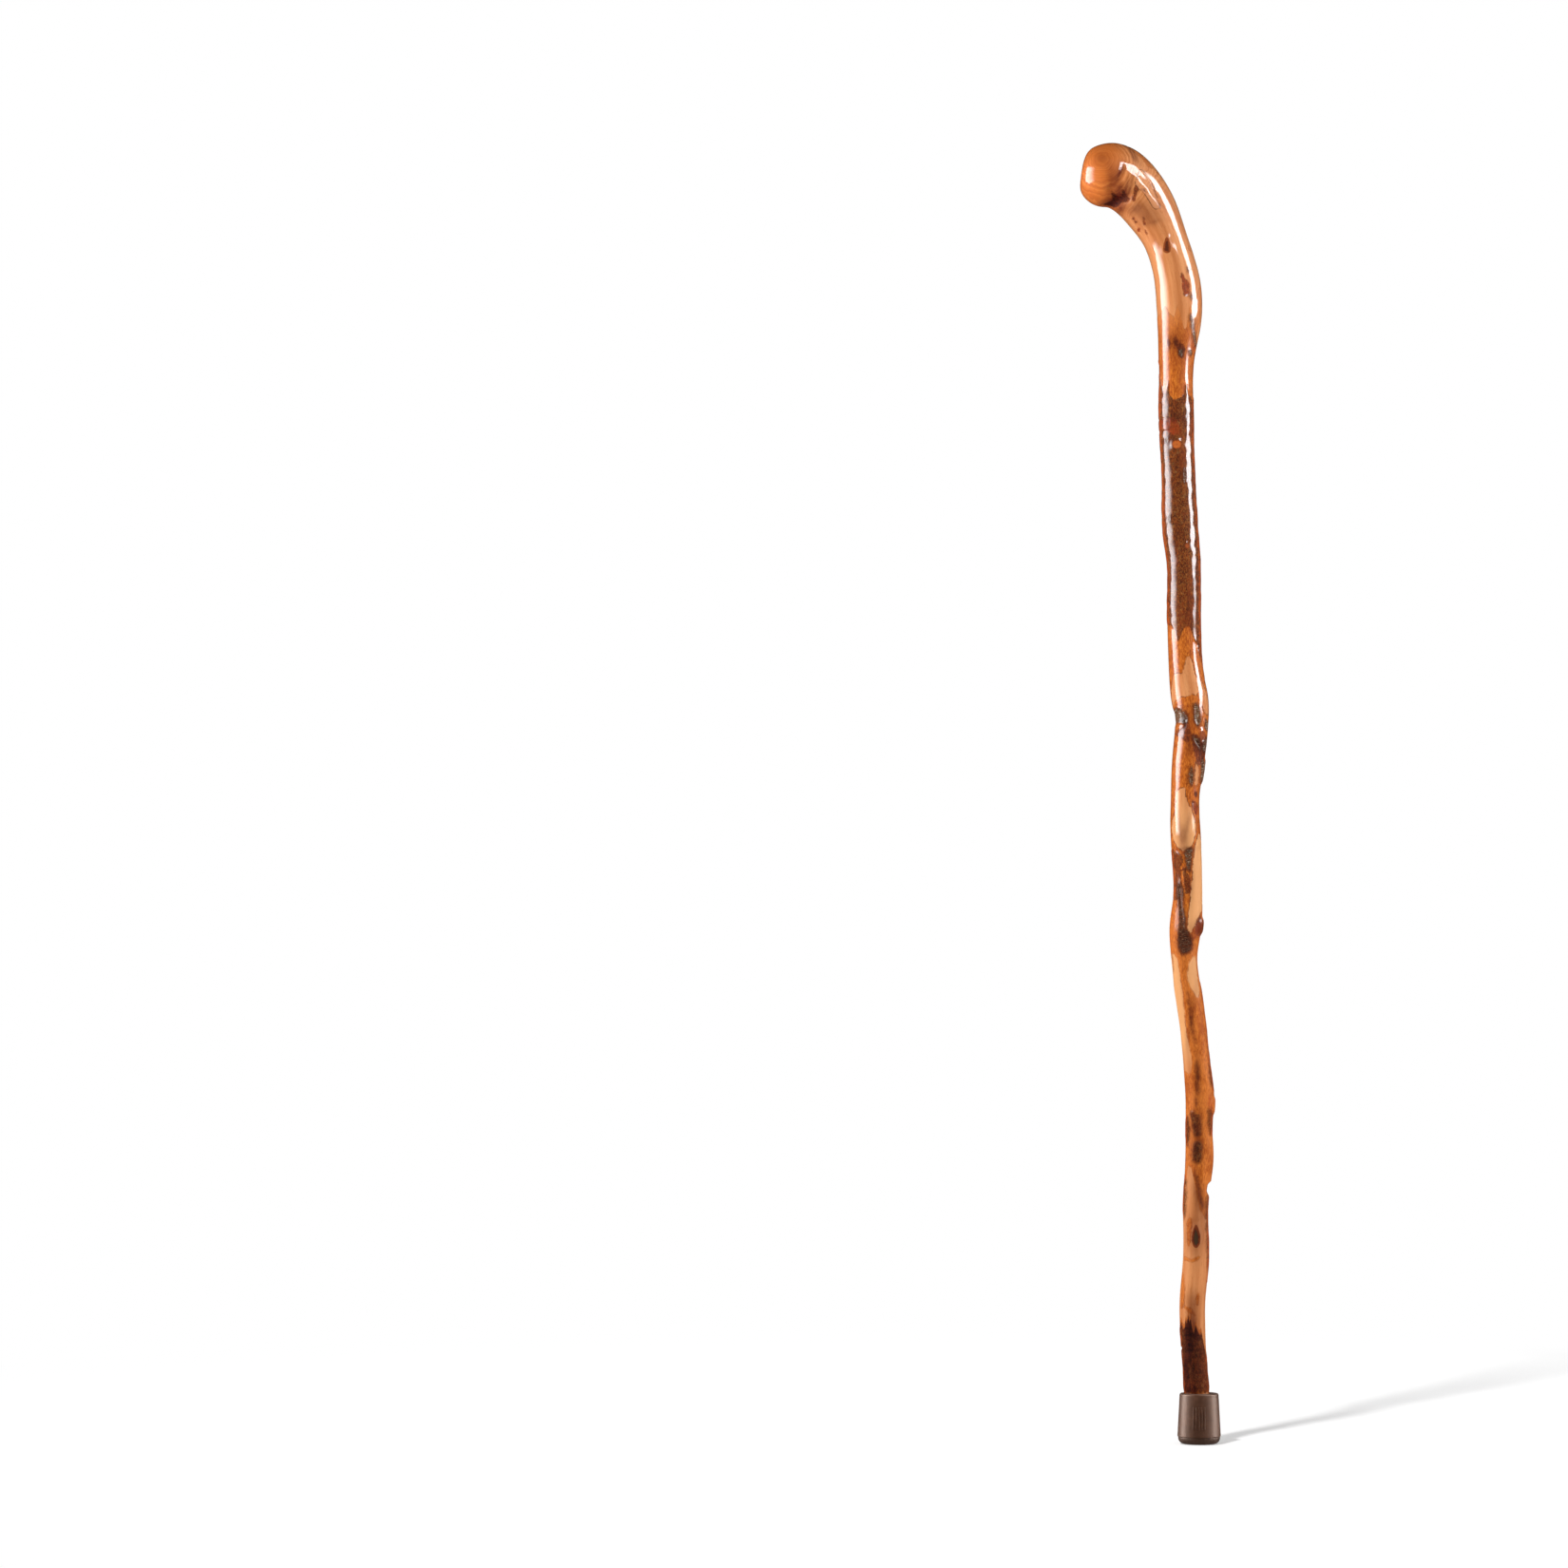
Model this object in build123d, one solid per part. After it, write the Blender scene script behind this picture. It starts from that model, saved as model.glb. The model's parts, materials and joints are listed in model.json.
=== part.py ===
from build123d import *
import math
import os

"""Single point cane: a one-piece root-knob hardwood stick in a rubber tip with a steel washer inside.

Millimetres. The origin is the centre of the tip's ground face, +Z is up and the knob points towards -X.
"""

# ---- driving dimensions -------------------------------------------------------------------------

FOOT_LEAN = 3.56            # degrees that the foot of the stick leans towards -X as it rises
FOOT_DIAMETER = 18.0        # turned end of the stick
FOOT_CHAMFER = 1.0
SOCKET_CLEARANCE = 0.05     # radial, between the foot and the socket
SOCKET_FLOOR = 8.0          # height of the centre of the socket's floor
SOCKET_LEAD_IN = 0.8        # chamfer at the mouth of the socket
FOOT_LENGTH = 27.45         # from the washer side up to where the shaft begins
END_GAP = 0.1               # between the end of the foot and the washer

TIP_HEIGHT = 36.3
TIP_TOP_RADIUS = 14.0
TIP_BASE_RADIUS = 15.6      # just above the lip
TIP_TOP_ROUND = 1.3
LIP_HEIGHT = 5.6            # height of the sharp lower edge of the boot
LIP_STEP = 0.5              # how far the sole stands in from the lip
SOLE_ROUND = 4.4            # rounding of the sole's edge
TREAD_DEPTH = 1.5
TREAD_GROOVES = ((3.6, 5.0), (7.2, 8.6))    # inner and outer radius of each ring groove
RIBS = 5                    # short upright ribs moulded on the front of the boot
RIB_PITCH = 7.6             # degrees
RIB_WIDTH = 1.0
RIB_HEIGHT = 16.0
RIB_STANDOUT = 0.45
RIB_DEPTH = 1.5             # of which the rest is sunk into the wall
RIB_MIDDLE = 19.0           # height of the middle of the ribs

WASHER_DIAMETER = 17.4
WASHER_THICKNESS = 1.5

# Stations of the stick, from the foot to the face of the knob. Each is
# (x, y, z of the centre, lean of the axis towards -X in degrees, width in the XZ plane, depth).
LOWER_SHAFT = (
    (-2.6, 0.0, 50.0, 3.5, 17.9, 17.9),
    (-4.0, 0.2, 70.0, 3.0, 17.8, 18.0),
    (-4.9, 0.4, 88.0, 1.0, 18.5, 18.3),
    (-4.7, 0.7, 106.0, -2.0, 18.6, 18.3),
    (-2.8, 1.0, 126.0, -2.0, 18.7, 18.4),
    (-2.3, 1.2, 150.0, 0.0, 18.3, 18.6),
    (-2.5, 1.3, 172.0, -1.0, 18.0, 18.6),
    (-0.9, 1.2, 191.0, -3.5, 19.3, 19.0),       # low hump above the notch on the +X side
    (0.2, 1.0, 208.0, 0.0, 20.2, 19.6),
    (-0.2, 0.7, 227.0, 0.0, 19.0, 19.4),
    (0.6, 0.4, 246.0, 0.0, 20.5, 19.8),
    (-1.3, 0.0, 269.0, 5.5, 19.6, 19.4),
    (-4.3, -0.6, 298.0, 7.0, 19.1, 19.2),
    (-8.3, -1.2, 327.0, 6.0, 19.3, 19.4),
    (-10.7, -1.5, 351.0, 3.0, 19.0, 20.2),
)
MIDDLE_SHAFT = (
    (-9.9, -1.4, 371.0, -3.0, 22.8, 21.8),      # collar of the cut twig
    (-8.1, -1.2, 393.0, -3.0, 20.9, 21.2),
    (-8.4, -1.0, 417.0, 2.0, 20.9, 21.4),
    (-9.8, -0.8, 441.0, 2.0, 21.8, 23.0),       # the burl on the front
    (-10.1, -0.5, 464.0, 0.0, 20.6, 22.4),
    (-8.6, -0.2, 484.0, -4.0, 22.8, 22.8),
    (-6.6, 0.2, 504.0, -5.0, 23.6, 24.4),
    (-5.4, 0.5, 521.0, 0.0, 24.4, 25.6),
    (-6.7, 0.7, 536.0, 6.0, 26.6, 25.8),        # the widest of the knuckles
    (-9.1, 0.9, 553.0, 5.0, 24.8, 24.8),
    (-10.6, 1.1, 577.0, 2.0, 23.5, 24.0),
    (-11.0, 1.3, 606.0, 0.5, 23.8, 24.0),
)
UPPER_SHAFT = (
    (-11.3, 1.4, 634.0, 2.0, 23.8, 24.2),
    (-13.6, 1.5, 660.0, 4.0, 25.2, 24.6),
    (-14.7, 1.5, 690.0, 2.5, 24.1, 24.4),
    (-16.0, 1.3, 718.0, 2.5, 24.2, 24.4),
    (-16.7, 1.1, 744.0, 1.0, 25.2, 24.8),
    (-16.8, 0.8, 770.0, -1.0, 24.8, 25.4),
    (-16.3, 0.5, 787.0, -3.0, 26.8, 27.4),
    (-14.8, 0.2, 804.0, -3.0, 31.0, 30.2),
    (-14.4, 0.0, 822.0, 1.0, 33.3, 32.4),       # the swelling under the neck
)
NECK_AND_KNOB = (
    (-15.6, -0.2, 838.0, 7.0, 33.0, 32.8),
    (-19.4, -0.5, 854.0, 15.0, 31.8, 33.2),
    (-25.2, -0.9, 871.0, 24.0, 32.4, 34.4),
    (-33.4, -1.5, 888.0, 37.0, 38.4, 38.2),
    (-44.6, -2.2, 903.8, 52.0, 43.0, 42.4),
    (-55.8, -2.8, 913.2, 68.0, 46.2, 45.6),
    (-66.0, -3.2, 916.0, 84.0, 46.7, 46.6),     # the fattest of the knob
    (-74.6, -3.3, 915.4, 90.0, 43.2, 43.8),
    (-80.2, -3.2, 915.8, 88.0, 36.6, 37.6),
    (-83.6, -3.1, 916.8, 83.0, 27.8, 28.6),
    (-84.9, -3.0, 917.4, 81.0, 19.0, 20.0),     # edge of the flat on the end of the knob
)


def leaning_plane(x, y, z, lean):
    """A plane across the stick whose normal leans from +Z towards -X by lean degrees."""
    across = Vector(1, 0, 0).rotate(Axis.Y, -lean)
    along = Vector(0, 0, 1).rotate(Axis.Y, -lean)
    return Plane(origin=(x, y, z), x_dir=across, z_dir=along)


FOOT_AXIS = leaning_plane(0, 0, SOCKET_FLOOR, FOOT_LEAN)      # its Z runs up the foot and the socket
FOOT_START = WASHER_THICKNESS + END_GAP
FOOT_TOP = FOOT_START + FOOT_LENGTH


def along_foot(height):
    """The plane across the foot at a height above the socket's floor."""
    return FOOT_AXIS.offset(height)


def cross_section(x, y, z, lean, width, depth):
    """An oval section of the stick."""
    return leaning_plane(x, y, z, lean) * Ellipse(width / 2, depth / 2)


def make_stick():
    """Shaft, neck and knob lofted in one smooth run, on a foot that is turned round."""
    sections = [along_foot(FOOT_TOP) * Circle(FOOT_DIAMETER / 2)]
    for station in LOWER_SHAFT + MIDDLE_SHAFT + UPPER_SHAFT + NECK_AND_KNOB:
        sections.append(cross_section(*station))
    stem = loft(sections)
    foot = Cylinder(FOOT_DIAMETER / 2, FOOT_LENGTH, align=(Align.CENTER, Align.CENTER, Align.MIN))
    lower_edge = foot.edges().group_by(Axis.Z)[0]
    foot = chamfer(lower_edge, FOOT_CHAMFER)
    return stem + along_foot(FOOT_START) * foot


def tip_profile():
    """Half of the boot's outline in the XZ plane, from the ground face up to the flat top."""
    sole_radius = TIP_BASE_RADIUS - LIP_STEP
    with BuildSketch(Plane.XZ) as profile:
        with BuildLine():
            ground = Line((0, 0), (sole_radius - SOLE_ROUND, 0))
            edge = RadiusArc(ground @ 1, (sole_radius, SOLE_ROUND), -SOLE_ROUND)
            riser = Line(edge @ 1, (sole_radius, LIP_HEIGHT - LIP_STEP))
            lip = Line(riser @ 1, (TIP_BASE_RADIUS, LIP_HEIGHT))
            wall = Line(lip @ 1, (TIP_TOP_RADIUS, TIP_HEIGHT))
            top = Line(wall @ 1, (0, TIP_HEIGHT))
            Line(top @ 1, (0, 0))
        make_face()
    return profile.sketch


def tread_groove(inner, outer):
    """One ring cut into the ground face."""
    ring = Circle(outer) - Circle(inner)
    return extrude(ring, TREAD_DEPTH)


def moulded_ribs():
    """A fan of equal ribs that lie on the tapered wall, on the -Y side."""
    taper = math.degrees(math.atan2(TIP_BASE_RADIUS - TIP_TOP_RADIUS, TIP_HEIGHT - LIP_HEIGHT))
    share = (RIB_MIDDLE - LIP_HEIGHT) / (TIP_HEIGHT - LIP_HEIGHT)
    wall_radius = TIP_BASE_RADIUS + share * (TIP_TOP_RADIUS - TIP_BASE_RADIUS)
    bar = Box(RIB_WIDTH, RIB_DEPTH, RIB_HEIGHT)
    outer_edges = bar.edges().group_by(Axis.Y)[0]
    bar = fillet(outer_edges, RIB_WIDTH / 4)
    middle = Pos(0, -wall_radius - RIB_STANDOUT + RIB_DEPTH / 2, RIB_MIDDLE)
    rib = middle * Rot(-taper, 0, 0) * bar
    return [Rot(0, 0, (k - (RIBS - 1) / 2) * RIB_PITCH) * rib for k in range(RIBS)]


def make_rubber_tip():
    """Boot with a leaning blind socket, a chamfered mouth, ribs in front and ring grooves underneath."""
    boot = revolve(tip_profile(), Axis.Z)
    rim = boot.edges().group_by(Axis.Z)[-1]
    boot = fillet(rim, TIP_TOP_ROUND)
    for rib in moulded_ribs():
        boot += rib
    for inner, outer in TREAD_GROOVES:
        boot -= tread_groove(inner, outer)
    socket_radius = FOOT_DIAMETER / 2 + SOCKET_CLEARANCE
    from_floor = (Align.CENTER, Align.CENTER, Align.MIN)
    boot -= FOOT_AXIS * Cylinder(socket_radius, TIP_HEIGHT, align=from_floor)
    mouth = boot.edges().filter_by(GeomType.CIRCLE, reverse=True).group_by(Axis.Z)[-1]
    return chamfer(mouth, SOCKET_LEAD_IN)


def make_tip_washer():
    """Steel disc lying on the socket's floor."""
    from_floor = (Align.CENTER, Align.CENTER, Align.MIN)
    disc = Cylinder(WASHER_DIAMETER / 2, WASHER_THICKNESS, align=from_floor)
    return FOOT_AXIS * fillet(disc.edges(), 0.2)


os.makedirs("parts", exist_ok=True)
export_step(make_stick(), "parts/stick.step")
export_step(make_rubber_tip(), "parts/rubber_tip.step")
export_step(make_tip_washer(), "parts/tip_washer.step")
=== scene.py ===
import itertools
import json
import math

import bpy
import numpy as np
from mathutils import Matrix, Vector
from mathutils.bvhtree import BVHTree


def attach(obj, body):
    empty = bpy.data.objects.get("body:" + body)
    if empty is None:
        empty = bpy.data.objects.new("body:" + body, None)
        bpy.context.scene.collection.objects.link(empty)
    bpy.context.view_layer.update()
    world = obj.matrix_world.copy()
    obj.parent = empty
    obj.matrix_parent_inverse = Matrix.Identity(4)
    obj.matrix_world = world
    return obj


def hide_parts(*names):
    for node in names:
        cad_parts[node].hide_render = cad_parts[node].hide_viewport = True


"""A root-knob walking cane: the lacquered stick, its rubber tip and the washer inside, in a white studio.

Sizes and places are in millimetres and are turned into metres when a mesh is made. Surface features are
given as they are seen from the front, as (x, z) in the frame of the CAD model, or by their angle round the
stick and their height; seen() and wrapped() take such points in a row. From the front, +X is to the right
and the viewer is on the -Y side.
"""

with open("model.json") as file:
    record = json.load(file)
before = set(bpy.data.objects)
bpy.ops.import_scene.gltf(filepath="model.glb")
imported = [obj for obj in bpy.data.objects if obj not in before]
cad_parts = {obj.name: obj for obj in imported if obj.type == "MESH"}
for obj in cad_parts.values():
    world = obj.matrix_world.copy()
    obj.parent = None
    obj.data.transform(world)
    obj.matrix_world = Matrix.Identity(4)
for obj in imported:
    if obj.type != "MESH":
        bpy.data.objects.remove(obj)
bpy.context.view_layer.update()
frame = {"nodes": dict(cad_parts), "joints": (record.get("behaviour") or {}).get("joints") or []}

MM = 0.001
TURN = 2 * math.pi

# ---- the grid that the stick's skin is laid on ---------------------------------------------------

ROUND = 96                  # points round the stick
STEP = 1.0                  # mm between rings along the stick
CAP_RINGS = 30              # rings over the end of the knob
FOOT_RINGS = 5              # rings across the end of the foot
AXIS_SOFTNESS = 9.0         # mm over which the centreline is smoothed
SHAFT_TOP = 826.0           # up to here the centreline is found level by level
SHAFT_BASE = 44.0
LEVEL = 9.0                 # mm between the levels
FOOT_LEVEL = 30.0           # level in the foot at which its middle is found
FOOT_X = -1.0               # roughly where that middle is
END_GAP = 0.05              # how far inside the foot's end the centreline starts
FOOT_SHOULDER = 27.0        # run at which the turned foot ends and the bark begins
RAY_REACH = 150.0           # how far outside the stick rays start
RING_SOFTNESS = 1.6         # points over which the surface is smoothed round the stick
RUN_SOFTNESS = 2.2          # rings over which it is smoothed along the stick
CRISP_END = 8.0             # mm at the foot's end that stay as they are along the stick
STEEPEST = 0.995            # largest sine of an angle that a point in the front view is given
PATCH_MARGIN = 12.0         # mm round an outline in which distances to it are worked out
FAR_OUTSIDE = -20.0         # the distance that stands for everything beyond
FIELD_REACH = 8             # mm beyond which the materials see no change
NECK = ((-15.6, 838), (-19.4, 854), (-25.2, 871), (-33.4, 888), (-44.6, 903.5), (-55.5, 912.5), (-67.0, 916))


def cad_surface(node):
    """The CAD node's surface, in mm, ready for rays."""
    mesh = frame["nodes"][node].data
    points = [v.co / MM for v in mesh.vertices]
    return BVHTree.FromPolygons(points, [tuple(p.vertices) for p in mesh.polygons])


def middle_of(tree, x, z, across):
    """The middle of the stick's wall-to-wall span through (x, z), along X or along Y."""
    if across == "x":
        near = tree.ray_cast((x - RAY_REACH, 0, z), (1, 0, 0))[0]
        far = tree.ray_cast((x + RAY_REACH, 0, z), (-1, 0, 0))[0]
        return (near.x + far.x) / 2
    near = tree.ray_cast((x, -RAY_REACH, z), (0, 1, 0))[0]
    far = tree.ray_cast((x, RAY_REACH, z), (0, -1, 0))[0]
    return (near.y + far.y) / 2


def smoothed(values, width, axis=0, wrap=False):
    """Gaussian smoothing; an open end carries on in a straight line."""
    reach = int(3 * width) + 1
    kernel = np.exp(-0.5 * (np.arange(-reach, reach + 1) / width) ** 2)
    kernel /= kernel.sum()
    values = np.moveaxis(values, axis, 0)
    if wrap:
        padded = np.concatenate([values[-reach:], values, values[:reach]])
    else:
        before = 2 * values[0] - values[reach:0:-1]
        after = 2 * values[-1] - values[-2 : -reach - 2 : -1]
        padded = np.concatenate([before, values, after])
    out = sum(k * padded[i : i + len(values)] for i, k in enumerate(kernel))
    return np.moveaxis(out, 0, axis)


def stick_axis(tree):
    """The centreline from the end of the foot to the middle of the knob, a point every STEP."""
    joint = next(j for j in frame["joints"] if j["name"] == "tip_pull")
    up = Vector(joint["axis"])
    low_x = middle_of(tree, FOOT_X, FOOT_LEVEL, "x")
    in_foot = Vector((low_x, middle_of(tree, low_x, FOOT_LEVEL, "y"), FOOT_LEVEL))
    end = tree.ray_cast(in_foot, -up)[0]
    points = [end + END_GAP * up, (end + in_foot) / 2, in_foot]
    for z in np.arange(SHAFT_BASE, SHAFT_TOP, LEVEL):
        x = middle_of(tree, points[-1].x, z, "x")
        points.append(Vector((x, middle_of(tree, x, z, "y"), z)))
    for x, z in NECK:
        points.append(Vector((x, middle_of(tree, x, z, "y"), z)))
    line = np.array(points)
    run = np.concatenate([[0], np.cumsum(np.linalg.norm(np.diff(line, axis=0), axis=1))])
    even = np.arange(0, run[-1], STEP)
    line = np.stack([np.interp(even, run, line[:, k]) for k in range(3)], axis=1)
    return smoothed(line, AXIS_SOFTNESS / STEP)


class Skin:
    """The stick's skin as a grid: rings along the stick by points round it.

    angle 0 faces the front, +90 degrees the right; run is the distance along the stick from the foot's end.
    """

    def __init__(self, node):
        tree = cad_surface(node)
        axis = stick_axis(tree)
        tangent = np.gradient(axis, axis=0)
        tangent /= np.linalg.norm(tangent, axis=1)[:, None]
        front = np.array([0.0, -1.0, 0.0]) - tangent * (tangent @ [0.0, -1.0, 0.0])[:, None]
        front /= np.linalg.norm(front, axis=1)[:, None]
        right = np.cross(tangent, front)
        self.axis, self.tangent, self.right = axis, tangent, right
        self.angle = (np.arange(ROUND) / ROUND - 0.5) * TURN
        cos, sin = np.cos(self.angle)[None, :, None], np.sin(self.angle)[None, :, None]
        tube = front[:, None] * cos + right[:, None] * sin
        tilt = (np.arange(1, CAP_RINGS + 1) / CAP_RINGS * math.pi / 2)[:, None, None]
        cap = tube[-1][None] * np.cos(tilt) + tangent[-1][None, None] * np.sin(tilt)
        self.out = np.concatenate([tube, cap])
        self.centre = np.concatenate([axis, np.repeat(axis[-1:], CAP_RINGS, axis=0)])
        self.tilt = np.concatenate([np.zeros(len(axis)), tilt[:, 0, 0]])
        reach = [
            [tree.ray_cast(Vector(c), Vector(d))[3] or 0.0 for d in ring]
            for c, ring in zip(self.centre, self.out)
        ]
        reach = smoothed(np.array(reach), RING_SOFTNESS, axis=1, wrap=True)
        crisp = int(CRISP_END / STEP)
        reach[crisp:] = smoothed(reach, RUN_SOFTNESS)[crisp:]
        self.reach = reach
        self.radius = reach.mean(axis=1) * np.cos(self.tilt)
        place = self.centre[:, None] + self.out * reach[:, :, None]
        hops = np.linalg.norm(np.diff(place, axis=0), axis=2).mean(axis=1)
        run = np.concatenate([np.arange(len(axis)) * STEP, np.zeros(CAP_RINGS)])
        run[len(axis) :] = run[len(axis) - 1] + np.cumsum(hops[len(axis) - 1 :])
        self.run = run
        self.place = place
        self.rings = len(run)

    def spot(self, point):
        """(angle, run) of a point seen from the front as (x, z), or of a behind() point."""
        if len(point) == 3:
            _, degrees, z = point
            return math.radians(degrees), float(np.interp(z, self.axis[:, 2], self.run[: len(self.axis)]))
        offset = np.array(point)[None] - self.axis[:, [0, 2]]
        along = np.abs((offset * self.tangent[:, [0, 2]]).sum(axis=1))
        ring = int(np.argmin(3 * along + np.hypot(*offset.T)))
        side = float((offset[ring] * self.right[ring, [0, 2]]).sum())
        quarter = ROUND // 4 * (3 if side > 0 else 1)
        sine = max(-STEEPEST, min(STEEPEST, side / self.reach[ring, quarter]))
        return math.asin(sine), float(self.run[ring])

    def flat(self, angle):
        """Unrolled sideways distance, in mm, of every grid point from a line at this angle."""
        turn = (self.angle - angle + math.pi) % TURN - math.pi
        return turn[None] * self.radius[:, None]

    def straight(self):
        """The grid as if the stick were straight, for noise and grain that follow it."""
        r = self.reach * np.cos(self.tilt)[:, None]
        run = np.broadcast_to(self.run[:, None], r.shape)
        return np.stack([r * np.sin(self.angle), -r * np.cos(self.angle), run], axis=2)


def behind(degrees, z):
    """A point given by its angle round the stick: 90 is the right side, 180 the back, -90 the left."""
    return ("behind", degrees, z)


def seen(*flat):
    """Points in the front view, from a flat run of x, z, x, z and so on."""
    return tuple(zip(flat[::2], flat[1::2]))


def wrapped(*flat):
    """behind() points, from a flat run of degrees, z, degrees, z and so on."""
    return tuple(behind(degrees, z) for degrees, z in zip(flat[::2], flat[1::2]))


skin = Skin("stick")
straight = skin.straight()


def lattice_noise(size, seed, stretch=1.0):
    """Smooth noise from -1 to 1 on the skin, with lumps of that size in mm, stretched along the stick."""
    p = straight / np.array([size, size, size * stretch])
    cell = np.floor(p).astype(np.int64)
    t = p - cell
    t = t * t * (3 - 2 * t)
    total = np.zeros(p.shape[:2])
    for corner in itertools.product((0, 1), repeat=3):
        c = cell + corner
        # A hash of the corner's place, as a value from -1 to 1.
        key = c[..., 0] * 73856093 ^ c[..., 1] * 19349663 ^ c[..., 2] * 83492791 ^ seed * 40503
        key = (key * 1103515245 + 12345) & 0x7FFFFFFF
        key = ((key >> 13) ^ key) * 1274126177 & 0x7FFFFFFF
        weight = np.prod(np.where(corner, t, 1 - t), axis=2)
        total += weight * (key / 0x3FFFFFFF - 1)
    return total


def step(values, low, high):
    """0 below low, 1 above high, smooth between."""
    t = np.clip((values - low) / (high - low), 0, 1)
    return t * t * (3 - 2 * t)


def bell(values, width):
    """1 at nothing, falling off on both sides in a bell of that width."""
    return np.exp(-0.5 * (values / width) ** 2)


def rounded(corners):
    """The outline with its corners cut twice, so that it runs in curves."""
    points = np.array(corners)
    for _ in range(2):
        following = np.roll(points, -1, axis=0)
        pairs = [0.75 * points + 0.25 * following, 0.25 * points + 0.75 * following]
        points = np.stack(pairs, axis=1).reshape(-1, 2)
    return points


def patch(outline):
    """Signed distance in mm to an outline drawn on the skin, positive inside."""
    spots = [skin.spot(p) for p in outline]
    angles = np.unwrap([a for a, _ in spots])
    middle = float(angles.mean())
    runs = np.array([s for _, s in spots])
    radius = np.interp(runs, skin.run, skin.radius)
    corners = rounded(np.stack([(angles - middle) * radius, runs], axis=1))
    distance = np.full((skin.rings, ROUND), FAR_OUTSIDE)
    near = (skin.run > runs.min() - PATCH_MARGIN) & (skin.run < runs.max() + PATCH_MARGIN)
    u = skin.flat(middle)[near]
    v = np.broadcast_to(skin.run[near, None], u.shape)
    best, inside = np.full(u.shape, 1e9), np.zeros(u.shape, bool)
    for (u1, v1), (u2, v2) in zip(corners, np.roll(corners, -1, axis=0)):
        du, dv = u2 - u1, v2 - v1
        t = np.clip(((u - u1) * du + (v - v1) * dv) / (du * du + dv * dv + 1e-9), 0, 1)
        best = np.minimum(best, np.hypot(u - u1 - t * du, v - v1 - t * dv))
        crosses = (v1 > v) != (v2 > v)
        inside ^= crosses & (u < du * (v - v1) / (dv if dv else 1e-9) + u1)
    distance[near] = np.where(inside, best, -best)
    return distance


def oval(point, half_width, half_length):
    """1 at the middle of an upright oval on the skin, 0 on its edge and less outside."""
    angle, run = skin.spot(point)
    return 1 - np.hypot(skin.flat(angle) / half_width, (skin.run[:, None] - run) / half_length)


def height_line(points):
    """The run at which a line round the stick lies, for every angle."""
    spots = sorted(skin.spot(p) for p in points)
    return np.interp(skin.angle, [a for a, _ in spots], [s for _, s in spots], period=TURN)


def union(*fields):
    """The larger of several fields at every point."""
    return np.maximum.reduce(fields)


def patches(outlines):
    """Signed distance in mm to the nearest of several outlines, positive inside."""
    return union(*[patch(outline) for outline in outlines])


def between(top, base):
    """How far every point is inside the band between two lines round the stick, in mm."""
    run = skin.run[:, None]
    return np.minimum(height_line(top)[None] - run, run - height_line(base)[None])


# ---- where the skin changes ------------------------------------------------------------------------

# Outer bark runs right round the upper shaft between these two lines.
BARK_TOP = (
    seen(-30, 782, -28.6, 777, -27.4, 764, -25, 758, -22.9, 763, -22.2, 766, -21.5, 756.5, -19.5, 753.8,
        -17, 752, -13, 753.4, -11, 757, -9.4, 765, -8.3, 757, -6.5, 755, -5, 752) + wrapped(110, 757,
        140, 771, 165, 760, -170, 758, -140, 770, -110, 780)
)
BARK_BASE = (
    seen(-22, 590, -19.5, 589, -17.4, 586, -16, 578.5, -14.5, 577.5, -13, 582, -11, 587, -8, 588.5, -6, 586,
        -4.6, 580, -3.2, 577.5, -1.6, 575, 0.2, 566) + wrapped(100, 548, 112, 552, 135, 571, 160, 583,
        -165, 566, -140, 580, -110, 592)
)
# Orange-brown inner bark lies under it and reaches further both ways.
INNER_TOP = (
    seen(-30.2, 813, -27.5, 815, -24.5, 820.5, -21.5, 815, -19, 811.3, -17.6, 813, -16, 821, -13.6, 815,
        -12, 809, -11.2, 803, -9.6, 802, -8.3, 807, -7.6, 815, -6.2, 820.5, -4, 817, -2, 800)
        + wrapped(95, 786, 120, 803, 150, 815, 175, 806, -150, 819, -120, 809)
)
INNER_BASE = (
    seen(-10.5, 204, -8, 201, -5.5, 199, -3, 186, -1.2, 176, 0.5, 168, 3.2, 164, 5.5, 160)
        + wrapped(110, 150, 150, 186, 180, 196, -150, 176, -110, 162) + seen(-10.6, 161)
)
# Dark bark returns above the tip.
FOOT_BARK_TOP = (
    seen(-13.8, 83, -12.8, 87, -11.6, 83, -10.4, 82, -9.6, 90, -8.8, 86, -7.8, 92, -7, 86, -6, 90.5, -5, 82,
        -3.6, 80, -2.6, 86, -1.4, 83, 0.2, 79, 1.6, 81, 2.8, 73, 4.2, 66) + wrapped(85, 60, 105, 66,
        118, 80, 140, 77, 155, 90, 180, 84, -155, 94, -140, 82, -118, 86, -100, 78)
)
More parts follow.
